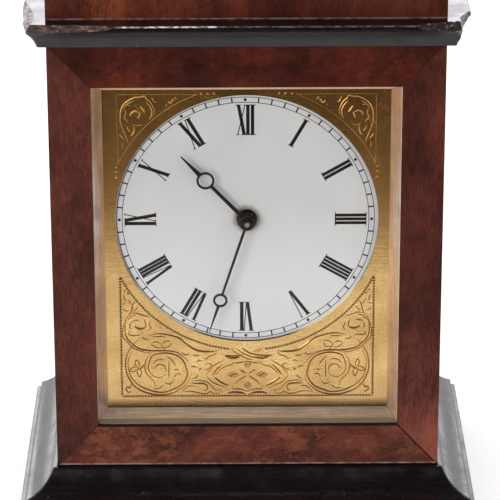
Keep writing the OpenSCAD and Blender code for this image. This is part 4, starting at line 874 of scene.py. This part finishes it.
# Engraving of the gilt mask, drawn on its left half and mirrored. T thick, B broad, - thin.
STROKES = """
T -31.7,56 -33.5,54.3 -34.7,52.7 -35.8,50.5 -36.3,48 -36.2,45.4 -35.4,42.8 -34.1,40.6 -32.3,39 -29.9,37.9 -27.2,37.3 -24.5,37.3 -21.8,38.1 -20.2,39.1 -18.5,40.5 -17.5,42.1 -17.3,43.6
T -34.3,51.8 -35.2,49.8 -35.6,47.5 -35.2,44.6 -34.5,42.8 -33,41 -31.2,39.7 -29.2,38.8 -26.5,38.1 -24.5,38.2 -21.8,39.2 -20.2,40.1 -18.8,41.6 -17.9,43.9 -18.2,45.9 -18.9,48 -20.1,49.6 -21.7,50.4 -24.3,51 -27,50.6 -28.4,49.9 -28.9,48.9 -29.4,47.4 -29.5,45.7 -28.7,44.2 -27.6,43.2 -26.1,43 -24.9,43.6 -24.3,44.4
- -28.9,50.5 -29.8,49.5 -30.4,48 -30.6,46.6 -30.4,45.1 -29.8,43.9 -28.5,42.5 -27.8,41.3 -27.4,39.8
- -28.3,46.4 -27.8,45.8 -27.2,46.7 -26.3,47.2 -25.2,47 -24.5,46.5 -24.3,44.4
- -28.1,47.3 -27.6,48.2 -26.5,48.8 -25.3,48.8 -24.6,48.3
- -24,49.9 -22.6,48.7 -21.9,47.7 -21.5,46.7
- -24.9,41.4 -24.1,41 -23.3,40.8 -22.6,41.1 -22,42.2
- -21.8,42.9 -21.5,43.8 -20.7,44.2 -19.9,43.9
- -21.9,45.2 -21.4,45.5 -20.4,45.5
- -28.2,39.3 -27,39.3 -25.9,39.7 -25,40.5
- -23.4,48.3 -23.4,45.8 -23.5,42.9
T -30.5,47.3 -31.2,46.6 -32.1,45.8 -33.1,45.7
- -32.5,46.2 -33.5,47.4 -33,48.7 -32.3,47.6 -32.5,46.2
- -32.5,46.2 -34,46.3 -35.2,45.3 -33.8,45 -32.5,46.2
- -32.5,46.2 -32.9,44.6 -32.2,43.2 -31.6,44.8 -32.5,46.2
T -34.6,41.3 -34.8,40.5 -35.2,39.7 -35.9,39.8 -36.3,39.3 -35.9,38.4 -35.2,38.2 -34.7,38.7
- -25.9,53.8 -24.9,52.6 -24.3,51.7
- -28.6,54 -27.4,54.6 -26.2,54.3 -25.8,53.8
- -28.6,54 -27.7,53.1 -26.5,52.6 -25.3,52.8
- -25.4,53.8 -24.6,54.5 -23.6,54.9 -22.7,54.4
- -22.7,54.4 -23,53.3 -23.9,52.8 -24.9,52.9
T -34.2,65.5 -34.8,63.5 -35.9,62.1 -36.3,59.8 -36.3,57.6 -35.9,56.2 -35.2,55 -33.9,53.7 -32.3,52.5 -30.5,52 -28.3,51.7 -24.3,51.7 -21.7,51.3 -20.1,50.6 -18.2,48.8 -17.4,47.4
- -36.1,61.9 -36.7,60.1 -37,57.9 -36.8,56 -35.7,54.6 -34.2,52.8 -32.3,51.8 -30.5,51.2 -28.6,51 -27.3,51.4
- -35.8,61.2 -34.8,62.5 -33.5,63.2 -32.6,63
- -34.8,63.5 -33.5,63.9 -32.1,63.7 -30,62.8 -29.2,62.8 -28.7,62.2
- -30.8,62.1 -30.3,61 -30.1,59.9 -30.5,59
B -33.5,59.6 -32.7,59.1 -31.7,58.8 -30.7,59 -30.4,59.5
- -34.4,61.1 -33.5,61.4 -32.7,61.6 -32,61.5
- -34.4,61.1 -34.8,60.1 -34.8,59.2 -34.2,58.5
- -28.6,61 -29.1,60.3 -28.6,59.3 -28.8,58.7 -29.3,58.2
- -34.4,58.2 -34.9,57.8 -35.2,57 -34.2,56.7 -31.6,56.8
- -31.3,56.3 -30.7,55.6 -29.7,55.4 -29.1,55.5
T -29.4,57.2 -28.8,56.6 -28.3,56.9 -26.9,57.2 -24.9,57.1 -23,56.7 -21,56.1 -19.4,55.2 -18.7,54.4 -16,52.3 -14.7,51.7 -13.1,51.4 -11.4,51.3 -9.9,51.4 -9.1,51.7
B -19.4,55.2 -18.7,54.4 -16,52.3 -14.7,51.7 -13.1,51.4 -11.4,51.3 -9.9,51.4
- -28.3,56.2 -25.6,56.3 -24.3,56.1
- -9.1,51.7 -9.5,50.5 -10.5,50 -11.5,49.7 -12.1,48.9 -12.7,49.1 -12.9,49.5
- -14.1,50 -15.7,50.1 -16.3,50.4
- -17.1,51.1 -17.7,50.4 -18.3,50.3 -19.1,50.6 -19.7,51.2
T -13.6,46.2 -14.5,45.2
- -12.6,47 -11.5,47.5 -10.6,47 -10.9,46.3 -11.7,45.6 -13.3,45.4
- -15.2,47.9 -14.3,48.5 -13.4,48.1
- -16.9,46.5 -15.6,46.5 -15,45.9
- -14.8,43.9 -15.2,43 -16.4,42.5
- -16.7,41.5 -14.8,42 -12.9,41.7 -11.6,41.1 -9.7,39 -8.7,38.8 -7.7,38.9
- -7.7,38.9 -8.3,38 -9.2,37.6 -10.3,37.7 -11.1,38.3 -11.9,37.7 -13.5,37.6 -15.9,38.2 -17.5,38.4 -19.6,38.1
- -19.6,38.1 -18.7,39.2 -17.5,40.1 -16.4,40.1 -15.5,39.8
T -16.8,41 -15.1,41 -12.7,40.8 -12,40 -12.1,39 -12.7,38.6 -13.2,38.9
- -6.8,48.7 -10,46.6 -12.3,43.7
- -12.3,43.7 -11.6,42.7 -10.3,41.3 -6.1,39.4
- -4.6,47.9 -4.5,47 -6.1,46.7 -7.5,45.9 -8.8,44.7 -9.6,43.7
B -9.7,42.9 -7.9,41.4 -5.6,40.2
T -7.3,47.2 -8.6,46 -10,44.3 -10.4,43.4
- -4.5,47.9 -2.8,47.6 0,48.3
- -4.6,40.3 -4.3,39.1 -2.8,39.1 -0.8,38.7 0,38.1
- -3.7,40.6 -2.6,41.9 -1.4,42.9
B -5.9,37.6 -4.8,38 -3.1,38 -1.4,37.8 -0.4,37.2
B -6.6,49.9 -5.4,49.4 -4.1,49.2 -2.3,49.5
T -32.9,67.7 -33.8,66.8 -34.2,64.8 -34.8,63.5
- -35.9,71.4 -36.4,70.5
T -35.6,70.5 -34.8,69.8
- -36.5,69.8 -36.2,68.4 -35.8,67.2
- -35.2,68.4 -34.6,67.2 -34.3,66.4
- -37.1,66.7 -36,67
- -36.9,65.6 -36.1,64.7 -35.2,64.4
- -32.4,66.1 -32.8,65.1 -33.7,64.5
T -35.2,119.4 -36.5,123.5 -36.6,125.5 -36.5,126.9 -36,128.3 -35.3,129.4 -34.2,130.3 -33.1,130.9 -32,131.3 -30.8,131.3 -29.7,131.6 -29.2,131.5 -29,130.8 -28.3,130.3 -27.6,129.5 -27.1,128.4 -26.7,127.3 -26.8,126.2 -27.1,125.4
- -35.5,127.9 -34.8,128.9 -33.9,129.6 -32.6,130.2
T -29.2,130 -28.4,129.1 -27.7,128 -27.4,126.9 -27.7,125.3 -28.2,124.4
- -35.5,127.9 -34.9,126.9 -34.9,126.4 -35.3,125.4 -35.2,124.8 -34.2,123.5
- -34.6,122.5 -34.4,121.6 -33.7,120.7
T -32.7,122.5 -32.6,121.6 -32.9,120.3 -33.6,119.4
B -33.6,125.6 -33.5,126.3 -33,126.8 -32.2,127.1 -31.3,126.7
T -31.3,126.7 -30.9,126.1 -31.6,124.7
B -30.7,128.5 -30.1,127.7 -29.4,126.6
- -33.1,123.2 -32.2,122.7 -30.1,122.8
- -34.4,128.9 -33.4,128.7
- -27.4,131.4 -26.7,129.9 -25.9,129.7
T -22.7,130.4 -22.1,129.4 -21,131
- -23.4,128.6 -23,129.1
- -20.9,131.4 -20.1,130.6
- -37,120 -36.1,119.1 -35.6,118.3
- -35.9,117.5 -36.1,116.7 -35.9,115.6
- -36.2,122.3 -34.8,118.6 -34.4,117
"""
WIDTHS = {"T": 0.62, "B": 0.88, "-": 0.44}


def both_sides(points):
    return [points, [(-x, z) for x, z in points]]


engraving = Sheet(MASK_Y)
for line in STROKES.strip().split("\n"):
    kind, rest = line[0], line[1:]
    points = [tuple(float(v) for v in p.split(",")) for p in rest.split()]
    for pts in both_sides(points):
        engraving.groove(pts, WIDTHS[kind], taper=0.5 if kind == "B" else 0.8)
# Two ribbons cross above the cartouche, one over the other, so they aren't mirrored.
for points, width in (([(-4.7, 52.4), (-4.1, 51.5), (-2.7, 50.5), (-0.1, 49.0), (1.6, 48.7)], 0.4),
                      ([(-1.4, 52.4), (0.1, 51.2), (1.7, 50.5), (4.0, 50.1), (7.5, 50.0)], 0.55),
                      ([(4.7, 52.4), (2.9, 51.2)], 0.4), ([(-1.2, 50.4), (-3.2, 49.9), (-6.6, 50.1)], 0.5),
                      ([(3.6, 52.3), (1.9, 51.1)], 0.4),
                      ([(-3.2, 52.2), (-1.0, 50.6), (1.2, 49.6), (3.2, 49.2)], 0.4)):
    engraving.groove(points, width, taper=0.3)
# The cartouche's flower: four petals with hatching, and strokes between them.
for cx, cz in ((-4.2, 43.8), (4.4, 43.8), (0.1, 40.3), (0.1, 47.2)):
    w, h = (1.7, 0.95) if abs(cx) > 1 else (1.1, 1.15)
    rim = [(cx + w, cz), (cx, cz + h), (cx - w, cz), (cx, cz - h), (cx + w, cz)]
    for a, b in zip(rim, rim[1:]):
        engraving.groove([a, ((a[0] + b[0]) / 2, (a[1] + b[1]) / 2), b], 0.28, taper=0.4)
    for k in (-0.45, 0.0, 0.45):
        ends = (cx - w * 0.5 + k, cz - h * 0.5), (cx + w * 0.5 + k, cz + h * 0.5)
        engraving.groove([ends[0], (cx + k, cz), ends[1]], 0.26)
for angle in (45, 135, 225, 315):
    c, s = math.cos(math.radians(angle)), math.sin(math.radians(angle)) * 0.75
    engraving.groove([(0.1 + a * c, 43.8 + b * s) for a, b in ((0.5, 0.5), (1.9, 1.9), (3.4, 3.2))], 0.55)

# The milled border: a frame of straight lines that breaks into a circle round the hole.
BORDER_R = 41.4
LOW_Z, TOP_Z, SIDE_X = 36.9, 132.1, 37.5
NICK_PITCH, NICK_HALF, NICK_REACH, NICK_H = 0.88, 0.13, 0.40, 0.095


def rise(angle):
    """Height of the border's circle at an angle in degrees, anticlockwise from +x."""
    return DIAL_Z + BORDER_R * math.sin(math.radians(angle))


def arc(a0, a1):
    """Places on that circle."""
    return [(BORDER_R * math.cos(math.radians(a)), rise(a)) for a in np.linspace(a0, a1, 24)]


def beaded(points):
    """A milled line: a cut crossed by a row of short nicks, which show in the lower half."""
    engraving.groove(points, 0.30, taper=0.0)
    line = curve_through(points, NICK_PITCH)
    u, v = NICK_HALF, NICK_REACH
    for (x, z), (a, b) in zip(line[1:-1], directions(line)[1:-1]):
        if z < DIAL_Z:
            corners = ((-u, -v), (u, -v), (u, v), (-u, v))
            nick = [(x + a * i - b * j, z + b * i + a * j, NICK_H) for i, j in corners]
            engraving.add(nick, [(0, 1, 2, 3)], 2)


side_angle = math.degrees(math.acos(SIDE_X / BORDER_R))
low_angle, top_angle = 180 + side_angle, 180 - side_angle
top_end = math.degrees(math.asin((TOP_Z - DIAL_Z) / BORDER_R))
top_x = -BORDER_R * math.cos(math.radians(top_end))
for points in (*both_sides([(-SIDE_X, rise(low_angle)), (-SIDE_X, 55), (-SIDE_X, LOW_Z)]),
               [(-SIDE_X, LOW_Z), (0, LOW_Z), (SIDE_X, LOW_Z)],
               *both_sides(arc(low_angle, 263)),
               *both_sides([(-SIDE_X, TOP_Z), (-25, TOP_Z), (top_x, TOP_Z)]),
               *both_sides([(-SIDE_X, TOP_Z), (-SIDE_X, 120), (-SIDE_X, rise(top_angle))]),
               *both_sides(arc(top_angle, 180 - top_end))):
    beaded(points)
# Small punched beads
for x, z in ((-37.8, 79.9), (-37.8, 78.0), (-37.8, 76.5), (-25.8, 59.2), (-13.1, 132.2), (-11.2, 132.3),
             (-9.4, 132.3), (-38.0, 109.9), (-38.0, 108.4), (-38.0, 106.7)):
    for sx in (x, -x):
        engraving.dome(sx, z, 0.36, 0.16, 10)
engraving.make("mask_engraving", [MAT["gilt_ridge"], MAT["gilt_cut"], MAT["gilt_nick"]], "case")

# ---------------------------------------------------------------------------
# Stage, lights and camera
# ---------------------------------------------------------------------------
def sight(g):
    """1 for rays from the camera, from mirrors and through glass."""
    path = g.add("LightPath").outputs
    mirrored = g.math("MAXIMUM", path["Is Camera Ray"], path["Is Glossy Ray"])
    return g.math("MAXIMUM", mirrored, path["Is Transmission Ray"])


def lit_white(name, share):
    """Pale paper that the camera, mirrors and glass see as white with the object's soft shadow; it bounces
    plain light."""
    g = Nodes(name)
    plain = g.add("BsdfDiffuse", Color=(0.82, 0.82, 0.82, 1)).outputs[0]
    glow = g.add("Emission", Color=(1, 1, 1, 1), Strength=share).outputs[0]
    return g.close(g.blend(sight(g), plain, g.fill("AddShader", None, plain, glow)))


bpy.ops.mesh.primitive_circle_add(vertices=128, radius=3.0, fill_type="NGON", location=(0, 0, -0.0003))
floor = bpy.context.object
floor.name = "studio_floor"
floor.data.materials.append(lit_white("studio_paper", 0.50))

g = Nodes("studio", kind="World")
sky = g.add("Background", Color=(0.98, 0.99, 1.0, 1), Strength=0.42).outputs[0]
white = g.add("Background", Color=(1, 1, 1, 1), Strength=1.0).outputs[0]
bpy.context.scene.world = g.close(g.blend(sight(g), sky, white))


def softbox(name, at, aim, width, height, power, colour=(1, 1, 1)):
    light = bpy.data.lights.new(name, "AREA")
    light.shape = "RECTANGLE"
    light.size = width * MM
    light.size_y = height * MM
    light.energy = power
    light.color = colour
    o = link(name, light)
    o.location = Vector(at) * MM
    o.rotation_mode = "QUATERNION"
    o.rotation_quaternion = (Vector(aim) - Vector(at)).to_track_quat("-Z", "Y")
    o.visible_camera = False
    return o


softbox("key_left", (-500, -760, 260), (0, 0, 95), 460, 560, 4.1, (1.0, 0.985, 0.96))
softbox("fill_right", (720, -620, 330), (0, 0, 90), 420, 520, 1.2)
top = softbox("top_soft", (-60, 215, 1060), (-60, 0, 120), 900, 200, 2.6)
top.visible_glossy = False
softbox("top_strip", (-5, 215, 1060), (-5, 0, 120), 220, 200, 0.78)
softbox("back_soft", (0, 1050, 560), (0, 0, 150), 2200, 330, 6.4, (0.97, 0.91, 1.0))


def dark_studio(name, fade=None):
    """A dim warm dark; with fade = (near y, far y) it comes in gradually over that stretch of the table."""
    g = Nodes(name)
    if fade is None:
        return g.close(g.add("Emission", Color=(1.0, 0.62, 0.45, 1), Strength=0.028).outputs[0])
    y = g.split()[1]
    # The table's near part still has some warm light on it.
    dusk = g.ramp(g.step(y, -440, -240, 1.0, 0.0),
                  [(0.0, (0.50, 0.35, 0.24, 1)), (0.25, (0.27, 0.18, 0.13, 1)),
                   (0.6, (0.11, 0.075, 0.055, 1)), (1.0, (0.028, 0.018, 0.013, 1))])
    dark = g.add("Emission", Color=dusk, Strength=1.0).outputs[0]
    clear = g.add("BsdfTransparent").outputs[0]
    return g.close(g.blend(g.step(y, fade[1], fade[0], 1.0, 0.0), clear, dark))


def studio_card(name, corners, fade=None):
    """A dark card that only polished surfaces mirror, as the unlit studio in front of the table."""
    mesh = bpy.data.meshes.new(name)
    mesh.from_pydata([Vector(c) * MM for c in corners], [], [(0, 1, 2, 3)])
    mesh.materials.append(dark_studio(name, fade))
    o = link(name, mesh)
    o.visible_camera = o.visible_diffuse = o.visible_shadow = False


# The dark studio's sides
LEFT, RIGHT, FAR, NEAR, BEHIND, LOW, HIGH = -1500, 1500, -2400, -200, 1900, 1, 1800
for name, corners, *fade in (
        ("dark_front", [(LEFT, NEAR, LOW), (RIGHT, NEAR, LOW), (RIGHT, FAR, LOW), (LEFT, FAR, LOW)],
         (NEAR, NEAR - 72)),
        ("dark_room", [(LEFT, FAR, LOW), (RIGHT, FAR, LOW), (RIGHT, FAR, HIGH), (LEFT, FAR, HIGH)]),
        ("dark_left", [(LEFT, FAR, LOW), (LEFT, NEAR, LOW), (LEFT, NEAR, HIGH), (LEFT, FAR, HIGH)]),
        ("dark_right", [(RIGHT, FAR, LOW), (RIGHT, NEAR, LOW), (RIGHT, NEAR, HIGH), (RIGHT, FAR, HIGH)]),
        ("dark_ceiling", [(LEFT, FAR, HIGH), (RIGHT, FAR, HIGH), (RIGHT, BEHIND, HIGH), (LEFT, BEHIND, HIGH)])):
    studio_card(name, corners, *fade)

# Camera: the photograph's viewpoint and lens, angles in radians.
PITCH, YAW, ROLL = 0.375350, 0.0066862, -0.0021293
CAM_AT = (-4.498, -834.23, 401.87)
ahead = Vector((math.sin(YAW) * math.cos(PITCH), math.cos(YAW) * math.cos(PITCH), -math.sin(PITCH)))
level = Vector((math.cos(YAW), -math.sin(YAW), 0))
above = level.cross(ahead)
right = level * math.cos(ROLL) + above * math.sin(ROLL)
up = above * math.cos(ROLL) - level * math.sin(ROLL)
camera = bpy.data.cameras.new("camera")
camera.lens = 212.33
camera.sensor_width = 36
camera.clip_start = 0.01
camera.clip_end = 100
cam = link("camera", camera)
cam.matrix_world = Matrix.Translation(Vector(CAM_AT) * MM) @ Matrix((right, up, -ahead)).transposed().to_4x4()
bpy.context.scene.camera = cam
bpy.context.scene.view_settings.view_transform = "Standard"

bpy.context.view_layer.update()
